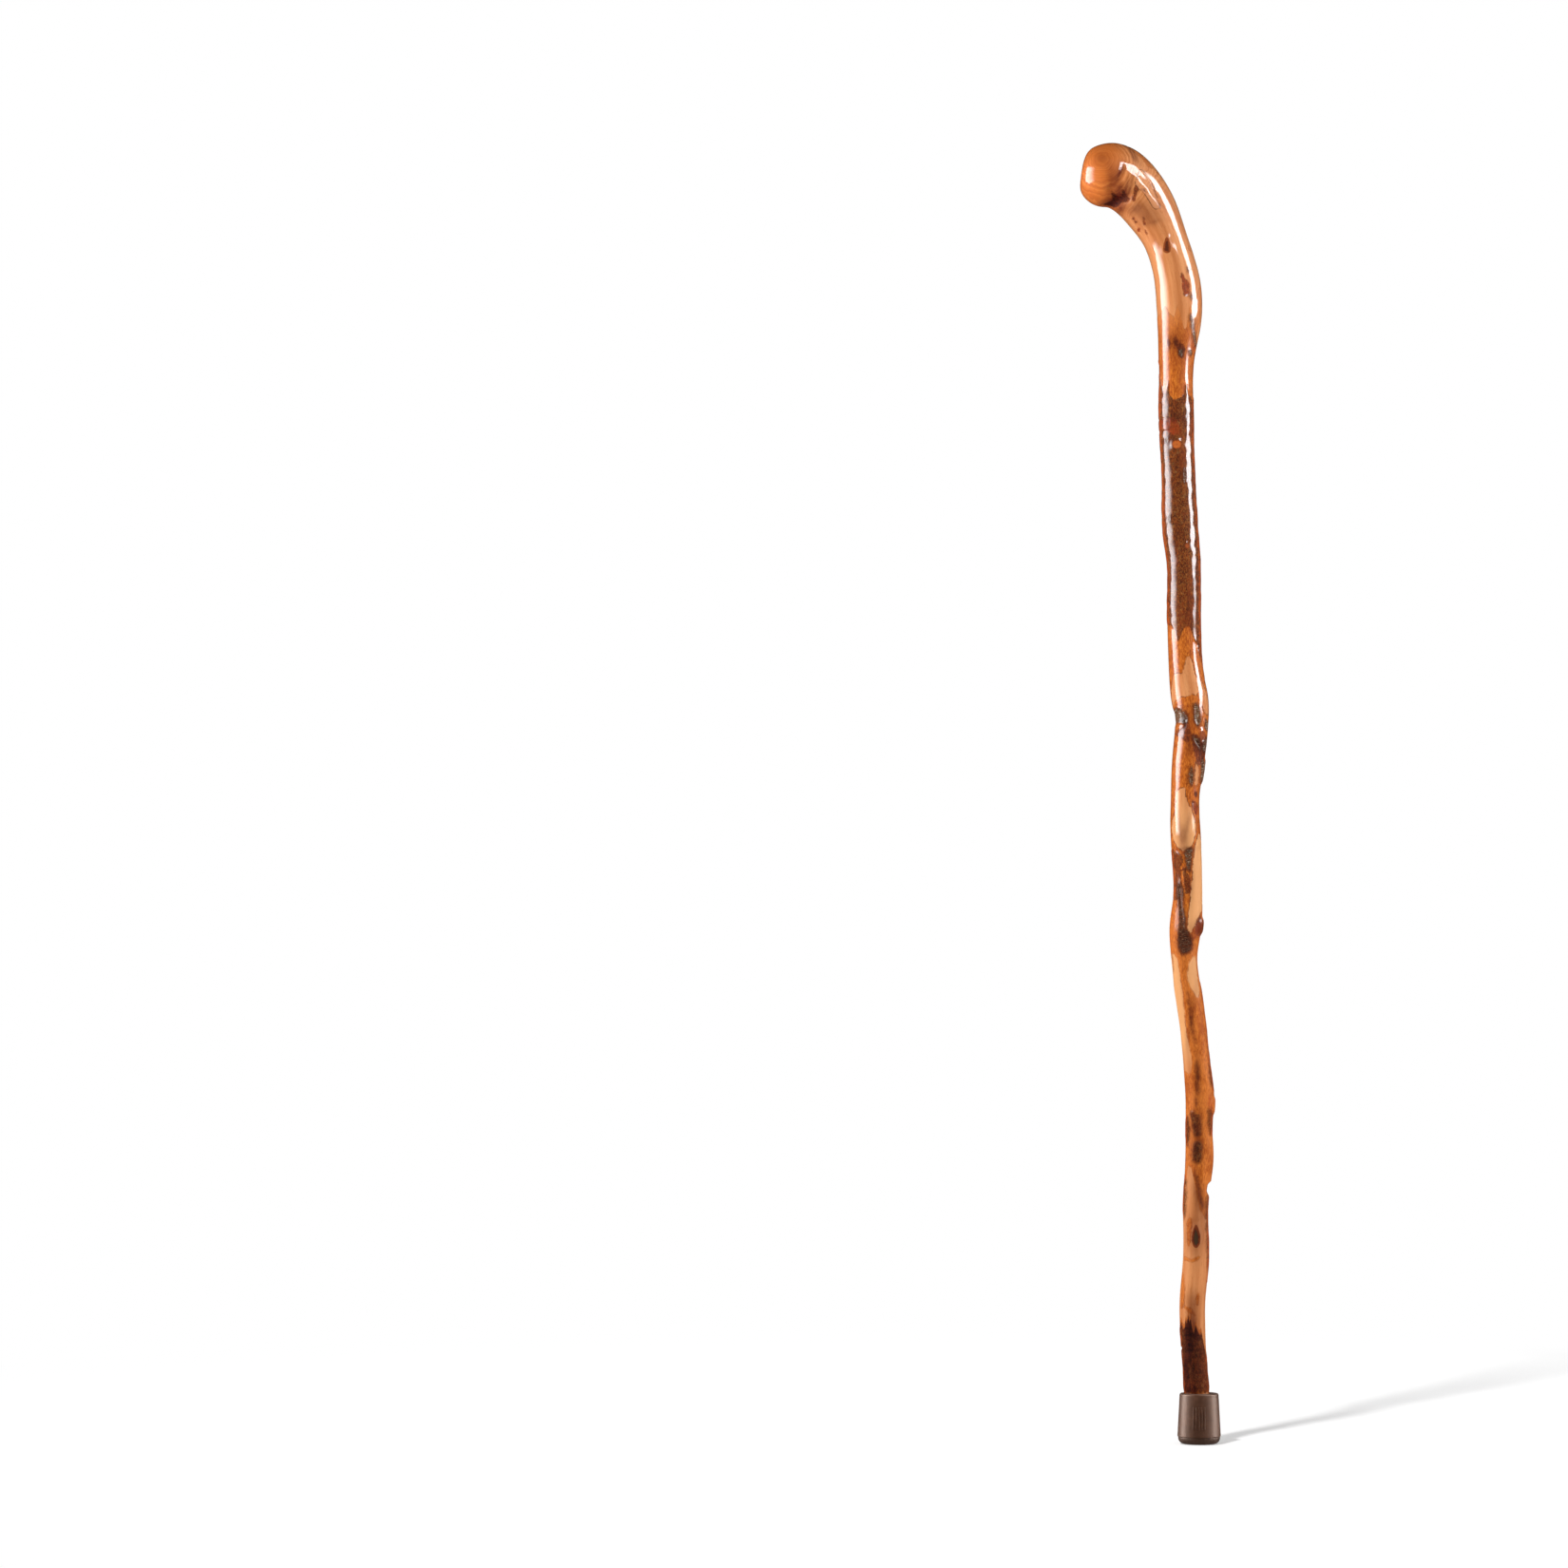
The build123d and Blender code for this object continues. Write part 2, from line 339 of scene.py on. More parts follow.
# Bare sapwood showing through the inner bark.
SAPWOOD = (
    # arch under the upper bark, with the lens that runs down the right of the knuckle
    seen(-18.8, 553, -15.5, 555.5, -13, 554, -11.3, 556, -10.3, 562, -8.3, 567, -6, 565.5, -4.3, 561,
        -3.3, 555, -1.8, 551, 2, 549, 4.6, 541.5, 6.6, 534, 7, 529, 6, 524, 3, 527, 1.5, 532, 1, 538,
        0, 541.3, -1.5, 540, -2.5, 538, -4.5, 539, -6, 539.7, -8, 538.2, -10, 537, -12.5, 537.2, -14.5, 536,
        -17, 535, -18.3, 530.5, -19.3, 533, -20.2, 541, -19.7, 548),
    # pear round the burl
    seen(-12, 472.5, -9.5, 470, -9, 463, -7.5, 459, -5.5, 455, -3.6, 450, -2.6, 444, -3.2, 437, -5, 431,
        -7.5, 428.5, -10.5, 426.3, -13, 427, -16, 430, -18.5, 436, -19.4, 443, -19.2, 448, -17.5, 451.5,
        -16.5, 456, -16.7, 470, -13.8, 470.5),
    # right flank below the burl
    seen(-0.5, 439.5, -2, 436, -3.5, 430, -4.3, 420, -5.3, 408, -5.5, 398, -6.5, 393, -8, 380, -8.5, 369,
        -6, 367, -4, 371, -1, 373.5, 0.2, 380, 2, 385) + wrapped(105, 392, 112, 410, 100, 428)
        + seen(0.8, 437),
    # long pale flank on the left of the lower shaft
    seen(-16, 350, -14.5, 345, -13.5, 335, -12.2, 328, -11.5, 320, -10, 305, -9, 295, -7.5, 288, -5.9, 280,
        -5.3, 270, -7, 266, -9.5, 267) + wrapped(-105, 272, -118, 300, -112, 330, -100, 350)
        + seen(-19, 353),
    seen(-5.5, 351, -2, 350, -1.6, 340, -0.8, 333, 0.6, 325, -1, 321, -2.6, 322, -5.5, 327, -7.6, 332,
        -9, 341),
    seen(-8, 199, -6, 197, -4.6, 191, -3.9, 183, -4, 176, -8, 172, -8.8, 184),
    seen(-3, 492, -0.6, 489, -0.4, 478, -1.5, 473, -3.2, 474, -3.6, 482),
    wrapped(150, 545, 185, 556, 205, 538, 200, 520, 165, 516),
    wrapped(160, 470, 195, 488, 225, 470, 215, 430, 190, 412, 160, 430),
    wrapped(140, 380, 170, 398, 205, 380, 215, 330, 185, 300, 155, 322, 138, 350),
    wrapped(175, 262, 205, 282, 225, 262, 210, 228, 180, 224),
)
# Inner bark left on bare wood.
INNER_BARK = (
    seen(-52, 936.3, -47, 934.2, -40, 928.2, -33.6, 920.5, -33.4, 918.6, -38, 922, -44, 928.5, -49, 932.8),
    seen(-8.3, 865.5, -6.4, 860.5, -7.4, 859.5, -8.4, 862),
    seen(-35.6, 911, -33.6, 905.5, -32, 900, -30.4, 894.5, -29.2, 890, -27.8, 889.6, -28.4, 893.5, -30, 899,
        -32.4, 905),
    seen(0.2, 842, 2, 834, 1.6, 822, -0.5, 806, -2.5, 796, -2.2, 812, -0.8, 828),
    seen(-10.8, 134.6, -7.6, 133.4, -5, 132.4, -2.6, 134, 0.6, 135.4, 0.2, 133.2, -2.4, 131.4, -5.4, 130.4,
        -8, 131.2, -10.8, 132),
    seen(-8.8, 160, -6.6, 163, -4.6, 160.5, -5.6, 150, -6.4, 141, -8.6, 142),
    seen(-13.2, 124, -10.8, 122, -10, 111, -10.6, 100, -13.4, 96, -12.4, 110),
    seen(-11.5, 99.5, -7.5, 98.5, -4, 95.5, -2, 92, -5.5, 93, -9, 95.5),
    seen(-2.6, 102, -1.4, 108, 0.4, 109, 0, 103, -1.6, 98),
    wrapped(60, 158, 85, 150, 120, 132, 130, 110, 100, 102, 75, 118),
    wrapped(150, 906, 180, 912, 195, 890, 170, 872, 150, 884),
    wrapped(-150, 152, -120, 140, -130, 112, -160, 106, -170, 130),
)
# Outer bark left on inner bark.
BARK = (
    seen(-19.5, 428.5, -17, 426.8, -13.4, 424.6, -11.2, 421.5, -10.6, 418, -12.8, 415, -12.4, 405,
        -12.8, 398, -14.5, 392, -18, 390) + wrapped(-100, 396, -105, 412, -95, 426),
    seen(-11.5, 417, -7.5, 409, -5.8, 402, -6.2, 396, -8.6, 394, -10.8, 399, -11.8, 408),
    seen(-6.6, 237, -4.5, 240, -2, 236, 0, 237.5, 1.2, 235, 1.2, 224, -1, 221, -3, 222, -5, 226),
    seen(-9.3, 236, -7.4, 235, -6.4, 222, -8.2, 213, -9.4, 216) + wrapped(-100, 225),
    seen(-4.5, 215, -1, 218.5, 1.6, 216, 2.2, 210, 1, 202.5, -2, 201.5, -5, 203.5, -4.4, 209),
    seen(1.8, 334, 3.2, 318, 5.2, 296, 6.6, 276, 7.7, 258) + wrapped(95, 250, 118, 262, 124, 300, 104, 328),
    seen(5, 178.5, 4.6, 168, 4.9, 150, 5.4, 130, 5.6, 118) + wrapped(90, 115, 118, 130, 112, 165, 92, 179),
    seen(6.2, 242, 8.8, 241, 9.6, 233, 9.4, 222, 7.2, 221, 6, 230),
    wrapped(-50, 188, -80, 196, -98, 182, -96, 168, -54, 158),
    wrapped(130, 500, 165, 508, 190, 490, 175, 470, 140, 476),
    wrapped(-160, 360, -140, 372, -122, 352, -130, 318, -150, 322),
    wrapped(150, 222, 178, 214, 170, 190, 146, 196),
)
# Grey, corky scars.
SCARS = (
    seen(-18.2, 528.5, -14.5, 529.4, -11.5, 527.6, -9, 524.5, -7.6, 520.5, -9.6, 518, -12.5, 519.4,
        -17.6, 518.8),
    seen(-3.9, 529, -3, 532, -0.8, 531.5, 0.6, 526, 1, 519.5, -0.6, 516, -2.6, 517, -3.8, 521.5),
    seen(3.8, 521.5, 5.6, 520.5, 6.2, 517, 5.2, 512.5, 3.6, 514.5),
    seen(-4.6, 510, -2, 508, 0, 504.2, 1.4, 500, 0.4, 498.6, -1.6, 501.4, -4.4, 506),
    seen(2.2, 506, 5, 509, 5.1, 503, 3.6, 497, 2, 499.4),
    seen(-7.6, 480, -6.8, 486.2, -5, 486.2, -4.4, 480, -5.6, 472.6, -7, 474),
    seen(1.8, 494.5, 2.8, 492, 3, 486, 2.2, 479, 0.8, 474.4, 0.6, 480, 1.4, 487),
    seen(-10.8, 425.4, -8.5, 427, -5, 428.4, -5.4, 422, -6.4, 413, -7.6, 410.5, -8.6, 415, -10, 420.6),
    seen(-15.6, 402, -12, 402, -11.6, 391, -10.6, 380, -9.4, 370.5, -7.6, 366.5, -5.4, 362, -5.8, 357,
        -8, 353.2, -12, 352.6, -14.6, 357, -14.8, 364, -14.2, 378, -14.8, 390),
    seen(-6.3, 814, -5.2, 813.5, -4, 806, -3.2, 800, -2.6, 790, -3.6, 793, -4.6, 801, -5.8, 806),
    seen(-14.6, 789, -12.2, 789.6, -11.7, 786, -12.8, 783.6, -14.4, 786),
    seen(-7.2, 788, -6, 788.5, -5.6, 786, -6.8, 784.5),
    seen(-8.4, 847, -7.4, 847, -7.2, 844.5, -8, 844.4),
    seen(-5.6, 828, -4.6, 828, -4.3, 825, -5, 824.6),
    seen(-22.4, 668, -20.8, 668, -20.5, 663.5, -21.9, 663.6),
    seen(-24.6, 724, -22.6, 724.4, -22.2, 721, -24, 720.4),
    seen(-9.4, 700, -10.6, 703, -11.8, 699, -11.6, 693, -10.2, 692),
    wrapped(170, 830, 178, 834, 182, 822, 174, 818),
    wrapped(-150, 640, -138, 648, -130, 636, -142, 626),
    wrapped(120, 420, 134, 430, 140, 412, 128, 404),
    wrapped(-170, 252, -158, 258, -154, 240, -166, 236),
)
# Dark brown stained wood: bruises and healed cracks; the first outline, the pocket under the knob, is a dark
# crack with painted shade of the recess round it.
BRUISES_AND_POCKET_SHADE = (
    seen(-64.8, 902.6, -63, 901.2, -61, 898, -58.4, 897, -56.4, 899, -56.4, 903.4, -54.8, 903.6, -53.4, 899,
        -50.4, 897.4, -50.8, 895.8, -55, 895, -58.6, 893.2, -61, 891, -66, 891.8, -71, 892.8, -67, 894.8,
        -63, 895.8, -63.6, 899),
    seen(-47.4, 905.8, -45.4, 906.6, -43.8, 903.6, -45.4, 900.4, -46.2, 896, -48, 894.8, -49.2, 896.4,
        -47.4, 899.4, -48, 902.6),
    seen(-43.6, 903.8, -40.6, 904.4, -38.2, 903, -38, 900.8, -39.6, 902, -42.6, 902.4),
    seen(-41, 884.4, -40, 885, -38.8, 880, -39.2, 877, -40, 878.6),
    seen(-39.4, 876, -38.4, 875, -37, 871.8, -38, 871.6, -39, 873.6),
    seen(-46.6, 881.2, -44.6, 881.6, -44.2, 880, -46, 879.4),
    seen(-48.6, 884.6, -46.8, 884.8, -46.4, 882.6, -48, 882.4),
    seen(-45.2, 876, -42.6, 876.4, -42, 875, -44.2, 874),
    seen(-19.2, 797, -17, 799, -15, 796, -14.2, 792.4, -11, 792, -10.2, 788, -11.2, 783.4, -13.4, 782.8,
        -15, 787, -17.4, 790.6),
    seen(-22.6, 764.5, -21.8, 766.5, -21.2, 760, -22.2, 758.6),
    seen(-14, 845, -12.6, 843.5, -10.4, 840.6, -7.8, 837.4, -6.4, 833, -6.8, 828.6, -8.4, 826, -10.8, 826.6,
        -11.9, 831, -12.3, 836.5, -13.4, 841),
    seen(-12.6, 524.4, -8, 521, -6.6, 514, -5.6, 508, -8.4, 503.6, -12.6, 508, -16.6, 509.4, -17.2, 512,
        -12.4, 514, -10, 517.4),
    seen(-5.8, 511, -2, 510.4, 0.8, 506, 5.2, 510.4, 5.6, 503, 3.6, 494.6, 1.8, 488, -1.6, 488.6, -2.8, 495,
        -5.2, 502),
    seen(-6.2, 463, -3, 462.6, -0.8, 459, -1.4, 453, -2.8, 451.6, -5, 456.6),
    seen(-11.4, 371, -4.4, 366, -4, 357, -8, 351.4, -13.4, 350.8, -15.8, 357, -15, 368),
    seen(-2, 376, 0.2, 380.5, 1.8, 375, 1.4, 367.5, -0.8, 364.5, -2.8, 367, -2.6, 372),
    seen(-8.8, 326, -7.5, 325, -5.6, 313, -4.2, 303, -2.6, 294.6, -2, 287, -3.4, 287.6, -5.4, 296, -7, 306,
        -7.8, 316),
    seen(-3, 275.6, -0.4, 275.4, 0.6, 266, 0.4, 256, -1.4, 249, -2.6, 257, -3.2, 266),
    seen(-3, 249, -1.4, 249.4, -1.6, 241, -2.6, 241),
    seen(-4.4, 196.6, -2.4, 197, 1.6, 183, 3.2, 170, 1.8, 168.6, -0.6, 178),
    wrapped(-70, 350, -62, 356, -58, 344, -66, 338),
    wrapped(140, 905, 152, 912, 160, 900, 148, 893),
    wrapped(-165, 706, -150, 712, -144, 698, -158, 692),
    wrapped(150, 300, 158, 312, 164, 290, 156, 276),
    wrapped(-150, 505, -138, 516, -128, 500, -142, 490),
)


def almond(place, half_width, half_length):
    """The outline of a knot, pointed at the top, round a place on the skin."""
    angle, run = skin.spot(place)
    radius = float(np.interp(run, skin.run, skin.radius))
    shape = seen(0, 1.1, 0.55, 0.55, 0.95, -0.1, 0.75, -0.7, 0.1, -1, -0.6, -0.85, -1, -0.2, -0.6, 0.5)
    outline = []
    for across, along in shape:
        turned = angle + across * half_width / radius
        height = float(np.interp(run + along * half_length, skin.run, skin.place[:, 0, 2]))
        outline.append(behind(math.degrees(turned), height))
    return tuple(outline)


# Knots and twig scars: (outline, how far they stand out, how dark the heart is).
KNOTS = (
    (seen(-24.2, 869.8, -22.4, 869, -21, 863, -20.7, 859.4, -22.2, 857, -25.4, 858.4, -25.9, 861.5,
        -25.2, 866), 0.4, 1.0),
    (seen(-23, 796, -21.4, 796.6, -20.4, 793, -21.2, 790.4, -22.8, 791), 0.3, 0.4),
    (seen(-18.8, 722.4, -13.6, 722.6, -12.8, 719.4, -13.6, 716.6, -18.4, 716.6, -19.4, 719.4), 0.6, 0.0),
    (seen(-10.4, 648, -8.2, 648.6, -6.8, 646.8, -7.4, 644.8, -9.4, 644.2, -10.6, 645.8), 0.4, 0.5),
    (seen(0.4, 512.6, 2.6, 513.2, 4.2, 509.6, 3.4, 505, 1.2, 503.6, -0.4, 507), 0.8, 0.5),
    (seen(-4.6, 469.6, -2.6, 470.4, -1.4, 468, -2.2, 465.2, -4.2, 465.4), 0.3, 1.0),
    (almond((-2.2, 149.3), 3.3, 8.6), 0.9, 1.0),
    (almond(behind(150, 850), 2.6, 5.5), 0.8, 1.0),
    (almond(behind(-160, 775), 2.4, 5.0), 0.8, 1.0),
    (almond(behind(165, 700), 2.8, 3.2), 0.9, 1.0),
    (almond(behind(-140, 612), 2.2, 2.4), 0.6, 1.0),
    (almond(behind(175, 532), 3.6, 5.6), 1.0, 1.0),
    (almond(behind(-150, 442), 3.0, 6.0), 1.0, 1.0),
    (almond(behind(160, 350), 2.8, 6.0), 0.9, 1.0),
    (almond(behind(-175, 196), 2.6, 6.0), 0.8, 1.0),
    (almond(behind(150, 108), 2.4, 5.0), 0.8, 1.0),
)
BURL = (-11.4, 437)         # a healed-over twig that swells the front
# Swellings and hollows of the stick: (place, half width, half length, height, share that its flank takes).
LUMPS = (
    (behind(86, 184), 7.5, 5.2, -2.0, 0.25),
    (behind(84, 243), 7, 7.5, 0.8, 0.5),
    (behind(78, 373), 5, 8.5, 1.5, 0.6),
    (behind(84, 485), 4.5, 11, 0.9, 0.35),
    (behind(-86, 523), 8, 8.5, -0.7, 0.6),
    (behind(-88, 775), 7, 5, -0.5, 0.5),
    (behind(-88, 69), 4, 1.6, -0.6, 0.5),
)
# Fine grooves above and below the bare ring in the upper bark, on the left.
BARE_RING = ((-29, 738.8), (-29, 729.5))
PITH_POINT = (-71.0, -26.0, 926.0)      # where the pith of the knob comes out on its front
PITH_DIRECTION = (0.25, 0.86, -0.40)
RINGS_START = (-33, 888)    # from this point of the neck on, growth rings come in
RINGS_FADE = 22             # mm of run over which they do
KNOB_WARMS = (-44.0, -66.0)             # x between which the knob's wood turns orange
# Reddish, smooth wood: healed wounds and the bare ring in the upper bark.
RUDDY = (
    seen(-29.2, 738, -22, 738.2, -17, 738.6, -13.6, 733, -15, 726.4, -19, 727, -23, 730, -29.2, 731)
        + wrapped(-105, 732, -105, 737),
    seen(-4, 798, -2.6, 796, -3.2, 789, -5, 787, -6, 792),
    seen(-4.2, 471, -1.6, 470, -1.2, 465, -3.4, 463.6, -5, 467),
    seen(-4, 459, -1.2, 457, -0.6, 452.5, -2, 452, -4.2, 456),
    seen(6.6, 252, 9, 251, 9.4, 240, 7.2, 239, 6.2, 245),
    seen(-5.6, 370, -2, 373, 0.8, 377, 0.6, 369, -2, 363.6, -5.4, 362),
    seen(-13.2, 843, -9.6, 840, -6.6, 836, -6.8, 829, -9, 827, -11.6, 830, -12.2, 837),
    seen(-45.2, 877, -42, 877, -41.6, 874, -44.6, 873.4),
)
# Folds and crevices of the handle, as broken lines in the front view: (points, width, depth).
CREASES = (
    (seen(-64.5, 902.5, -61.5, 899, -58, 896.4, -51.5, 897.2), 1.8, 1.9),
    (seen(-58, 896.4, -62, 893.6, -69, 891.5), 2.2, 1.6),
    (seen(-58.8, 911.5, -56.8, 914, -55, 919.5), 0.8, 0.5),
    (seen(-54.4, 899.5, -53.2, 905, -51.8, 912), 0.8, 0.55),
    (seen(-51.6, 898.5, -50.6, 904, -48.4, 911), 0.7, 0.6),
    (seen(-49, 899, -48, 903.5, -46, 909.5), 0.6, 0.5),
    (seen(-44.4, 903.8, -41.5, 904.4, -38.6, 902.6, -38.2, 901), 0.4, 0.25),
    (seen(-51.5, 936, -48.6, 930.5, -46, 924), 0.5, 0.3),
    (seen(-49.6, 934.6, -47.2, 929.4, -45, 923.4), 0.4, 0.25),
    (seen(-16.3, 826, -16.4, 821.5, -15.8, 817), 0.45, 0.4),
)
# Soft dark stains and painted shade in the front view: (x, z, half width, half length, lean of the top to the
# right, strength).
STAINS_AND_SHADE = (
    # The first six spots, in and round the pocket under the knob, are painted shade of that recess; the rest
    # are stains.
    (-59, 897, 3.4, 8, 72, 0.95), (-63.5, 893, 2.2, 6.5, 82, 0.95), (-57.2, 902.6, 2.6, 4.4, 10, 0.85),
    (-56.6, 890, 2.6, 3.6, 60, 0.8), (-62.4, 907, 3.6, 7, 14, 0.6), (-63.2, 915, 3.6, 8, -8, 0.4),
    (-57.2, 914.4, 1.5, 5, 26, 0.85), (-56, 918.6, 2.6, 3, 0, 0.4), (-52.6, 903.4, 1.1, 5.5, 16, 0.8),
    (-50.2, 902, 1.0, 5, 18, 0.7), (-48.0, 911, 0.9, 4, 12, 0.5), (-48.4, 929, 1.0, 6, -22, 0.6),
    (-45.6, 927.4, 0.9, 5, -24, 0.5), (-45.2, 889.6, 3.6, 6.5, 70, 0.55), (-39, 884.6, 5.0, 5.2, -24, 0.4),
    (-31.6, 884, 4.6, 6, 8, 0.26), (-33, 879.6, 1.4, 5, 76, 0.3), (-71, 926, 4.5, 4.5, 0, 0.4),
    (-16.5, 792, 4.4, 7.5, -30, 0.5), (-21.6, 792, 2.4, 4.4, 0, 0.5), (-15.5, 739, 3.4, 7, 80, 0.45),
    (-11.4, 436.5, 3.0, 7.5, 0, 0.6), (-10.4, 427.8, 1.5, 6, 84, 0.5), (-14.4, 446, 1.1, 7, -8, 0.35),
    (-8, 447, 1.1, 7, 10, 0.35), (-10, 520, 3, 8, 6, 0.6), (-7, 503, 2.4, 7, 0, 0.5),
    (1, 500, 3, 9, 0, 0.6), (-6, 400, 1.6, 11, 4, 0.4), (-10, 361, 5, 9, 0, 0.25), (-1, 371, 4, 7, 30, 0.5),
    (-5.5, 306, 1.8, 20, 9, 0.45), (-1.3, 262, 2.0, 15, 2, 0.5), (-2.2, 150, 5.5, 14, 0, 0.6),
    (-0.2, 178, 3.4, 14, -12, 0.6), (-1.5, 224, 4, 14, 0, 0.5), (-2, 209, 3.6, 6, 0, 0.5),
    (-4.6, 103, 4.5, 7, 0, 0.45), (-4.6, 88, 3.0, 9, 0, 0.75), (-5.5, 70, 5, 15, 0, 0.6),
    (-3, 52, 4, 9, 0, 0.45),
)
# The pocket under the knob, where the lacquer is thin and dull; as a stain, without a strength.
NOOK = (-57.6, 895.8, 3.6, 8.5, 72)
# A healed flap of bark on the neck, outlined by a thin dark seam.
LEAF = (
    seen(-42.7, 920, -39, 915.7, -35.5, 910.5, -33, 905, -31, 898.5, -28.4, 892, -29.5, 889.4, -33.5, 889.8,
        -36.5, 895.5, -40.5, 901.5, -44.5, 904, -47, 908, -45, 913.5)
)

foot_bark = height_line(FOOT_BARK_TOP)[None] - skin.run[:, None]
inner = np.minimum(between(INNER_TOP, INNER_BASE), -patches(SAPWOOD))
inner = union(inner, foot_bark + 3, patches(INNER_BARK))
bark = union(between(BARK_TOP, BARK_BASE), foot_bark, patches(BARK))
scar = patches(SCARS)
bruise_and_shade = patches(BRUISES_AND_POCKET_SHADE)
inside_knots = [patch(outline) for outline, _, _ in KNOTS]
knot = union(*inside_knots)


# ---- relief of the skin ---------------------------------------------------------------------------

def facing_front():
    """1 on the side seen from the front, 0 on the back."""
    return step(-skin.out[..., 1], -0.15, 0.25)


def seen_distance(points):
    """Distance in the front view from every grid point to a broken line."""
    x, z = skin.place[..., 0], skin.place[..., 2]
    best = np.full(x.shape, 1e9)
    for (x1, z1), (x2, z2) in zip(points, points[1:]):
        dx, dz = x2 - x1, z2 - z1
        t = np.clip(((x - x1) * dx + (z - z1) * dz) / (dx * dx + dz * dz), 0, 1)
        best = np.minimum(best, np.hypot(x - x1 - t * dx, z - z1 - t * dz))
    return best


def seen_oval(x, z, half_width, half_length, turn):
    """A soft oval spot in the front view, 1 in its middle."""
    lean = math.radians(turn)
    u, v = skin.place[..., 0] - x, skin.place[..., 2] - z
    across = u * math.cos(lean) - v * math.sin(lean)
    along = u * math.sin(lean) + v * math.cos(lean)
    return np.exp(-0.7 * ((across / half_width) ** 2 + (along / half_length) ** 2))


def relief():
    """How far the skin stands out from the CAD surface, in mm."""
    height = 0.28 * lattice_noise(15, 1, 2.2) + 0.10 * lattice_noise(5, 2, 2.0)
    height += 0.30 * step(bark, -0.3, 0.5) + 0.12 * step(inner, -0.3, 0.4)
    height += step(bark, 0, 1.5) * (0.13 * lattice_noise(2.6, 3, 1.6) + 0.12 * lattice_noise(7, 4, 1.5))
    height += 0.28 * bell(scar, 0.7) - 0.55 * step(scar, 0.2, 1.4)
    height += 0.12 * step(scar, 0, 1) * lattice_noise(2.2, 5, 1.4)
    for inside, (_, proud, _) in zip(inside_knots, KNOTS):
        height += proud * step(inside, -3, 0.8) - 0.6 * proud * step(inside, 0.4, 1.8)
    height += 1.2 * bell(1 - oval(BURL, 7, 11), 0.9)
    height -= 0.2 * step(bruise_and_shade, 0, 1.2) * (1 + lattice_noise(2.4, 8))
    for place, half_width, half_length, proud, flank in LUMPS:
        height += proud * step(oval(place, half_width, half_length), 0, flank)
    for point in BARE_RING:
        ring = skin.run[:, None] - skin.spot(point)[1] + 0.6 * lattice_noise(6, 6)
        height -= 0.4 * bell(ring, 0.7) * step(-np.abs(skin.angle + 0.9), -1.3, -0.8)[None]
    front = facing_front()
    for points, width, depth in CREASES:
        height -= depth * bell(seen_distance(points), width) * front
    fade_in = step(skin.run, FOOT_SHOULDER - 1, FOOT_SHOULDER + 5)[:, None]
    pole = np.cos(skin.tilt)[:, None]
    return height * fade_in * pole ** 0.5


def knot_hearts():
    """How dark the middle of each knot is, rising from nothing at its edge."""
    hearts = []
    for inside, (_, _, dark) in zip(inside_knots, KNOTS):
        hearts.append(dark * np.where(inside > 0, 0.3 + 0.7 * inside / inside.max(), 0))
    return union(*hearts)


def clipped(distance):
    """A distance in mm, as far as the materials need it."""
    return np.clip(distance, -FIELD_REACH, FIELD_REACH)


def growth_rings():
    """(distance in mm from the pith of the knob or the burl, how plainly the rings show)."""
    along = np.array(PITH_DIRECTION)
    along /= np.linalg.norm(along)
    offset = skin.place - np.array(PITH_POINT)
    distance = np.linalg.norm(offset - (offset @ along)[..., None] * along, axis=2)
    start = skin.spot(RINGS_START)[1]
    plain = np.broadcast_to(step(skin.run, start, start + RINGS_FADE)[:, None], distance.shape)
    burl = oval(BURL, 9, 17)
    return np.where(burl > 0, 12 * (1 - burl), distance), np.maximum(plain, 0.2 * step(burl, 0, 0.5))


on_shaft = skin.run[:, None] - FOOT_SHOULDER
bark = np.minimum(bark, on_shaft)
inner = np.minimum(inner, on_shaft)
# Stains, and painted shade round the pocket under the knob, as a share that darkens the wood.
stain_and_shade = 1 - np.prod([1 - s * seen_oval(*place) * facing_front() for *place, s in STAINS_AND_SHADE], axis=0)
pith, ringed = growth_rings()
fields = {
    "inner": clipped(inner),
    "bark": clipped(bark),
    "scar": clipped(scar),
    "ruddy": clipped(patches(RUDDY)),
    "bruise_and_shade": clipped(bruise_and_shade),
    "knot": clipped(knot),
    "heart": knot_hearts(),
    "stain_and_shade": stain_and_shade,
    "leaf": clipped(patch(LEAF)),
    "pith": pith,
    "ringed": ringed,
    "nook": seen_oval(*NOOK) * facing_front(),
    "knob": step(skin.place[..., 0], *KNOB_WARMS),
    # The two sides of the stick, where the bark carries its painted side light.
    "flank": np.broadcast_to(step(np.abs(np.sin(skin.angle)), 0.72, 0.96), pith.shape),
    "run": np.broadcast_to(skin.run[:, None], pith.shape),
}


# ---- meshes ---------------------------------------------------------------------------------------

def grid_faces(rings, around, first):
    """Quads between neighbouring rings; first is the index of the first ring's first point."""
    here = first + np.arange(rings - 1)[:, None] * around + np.arange(around)[None]
    side = first + np.arange(rings - 1)[:, None] * around + np.roll(np.arange(around), -1)[None]
    return np.stack([here, side, side + around, here + around], axis=2).reshape(-1, 4).tolist()


def fan(pole, ring_start, around, upward):
    """Triangles from a pole to the ring beside it."""
    ring = ring_start + np.arange(around)
    following = np.roll(ring, -1)
    pair = (ring, following) if upward else (following, ring)
    return [(int(a), int(b), pole) for a, b in zip(*pair)]


def make_mesh(name, points, faces, body, material):
    """A smooth-shaded object made from points in mm, riding on a body."""
    mesh = bpy.data.meshes.new(name)
    mesh.from_pydata((np.asarray(points) * MM).tolist(), [], faces)
    mesh.polygons.foreach_set("use_smooth", [True] * len(mesh.polygons))
    mesh.materials.append(material)
    made = bpy.data.objects.new(name, mesh)
    bpy.context.scene.collection.objects.link(made)
    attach(made, body)
    return made


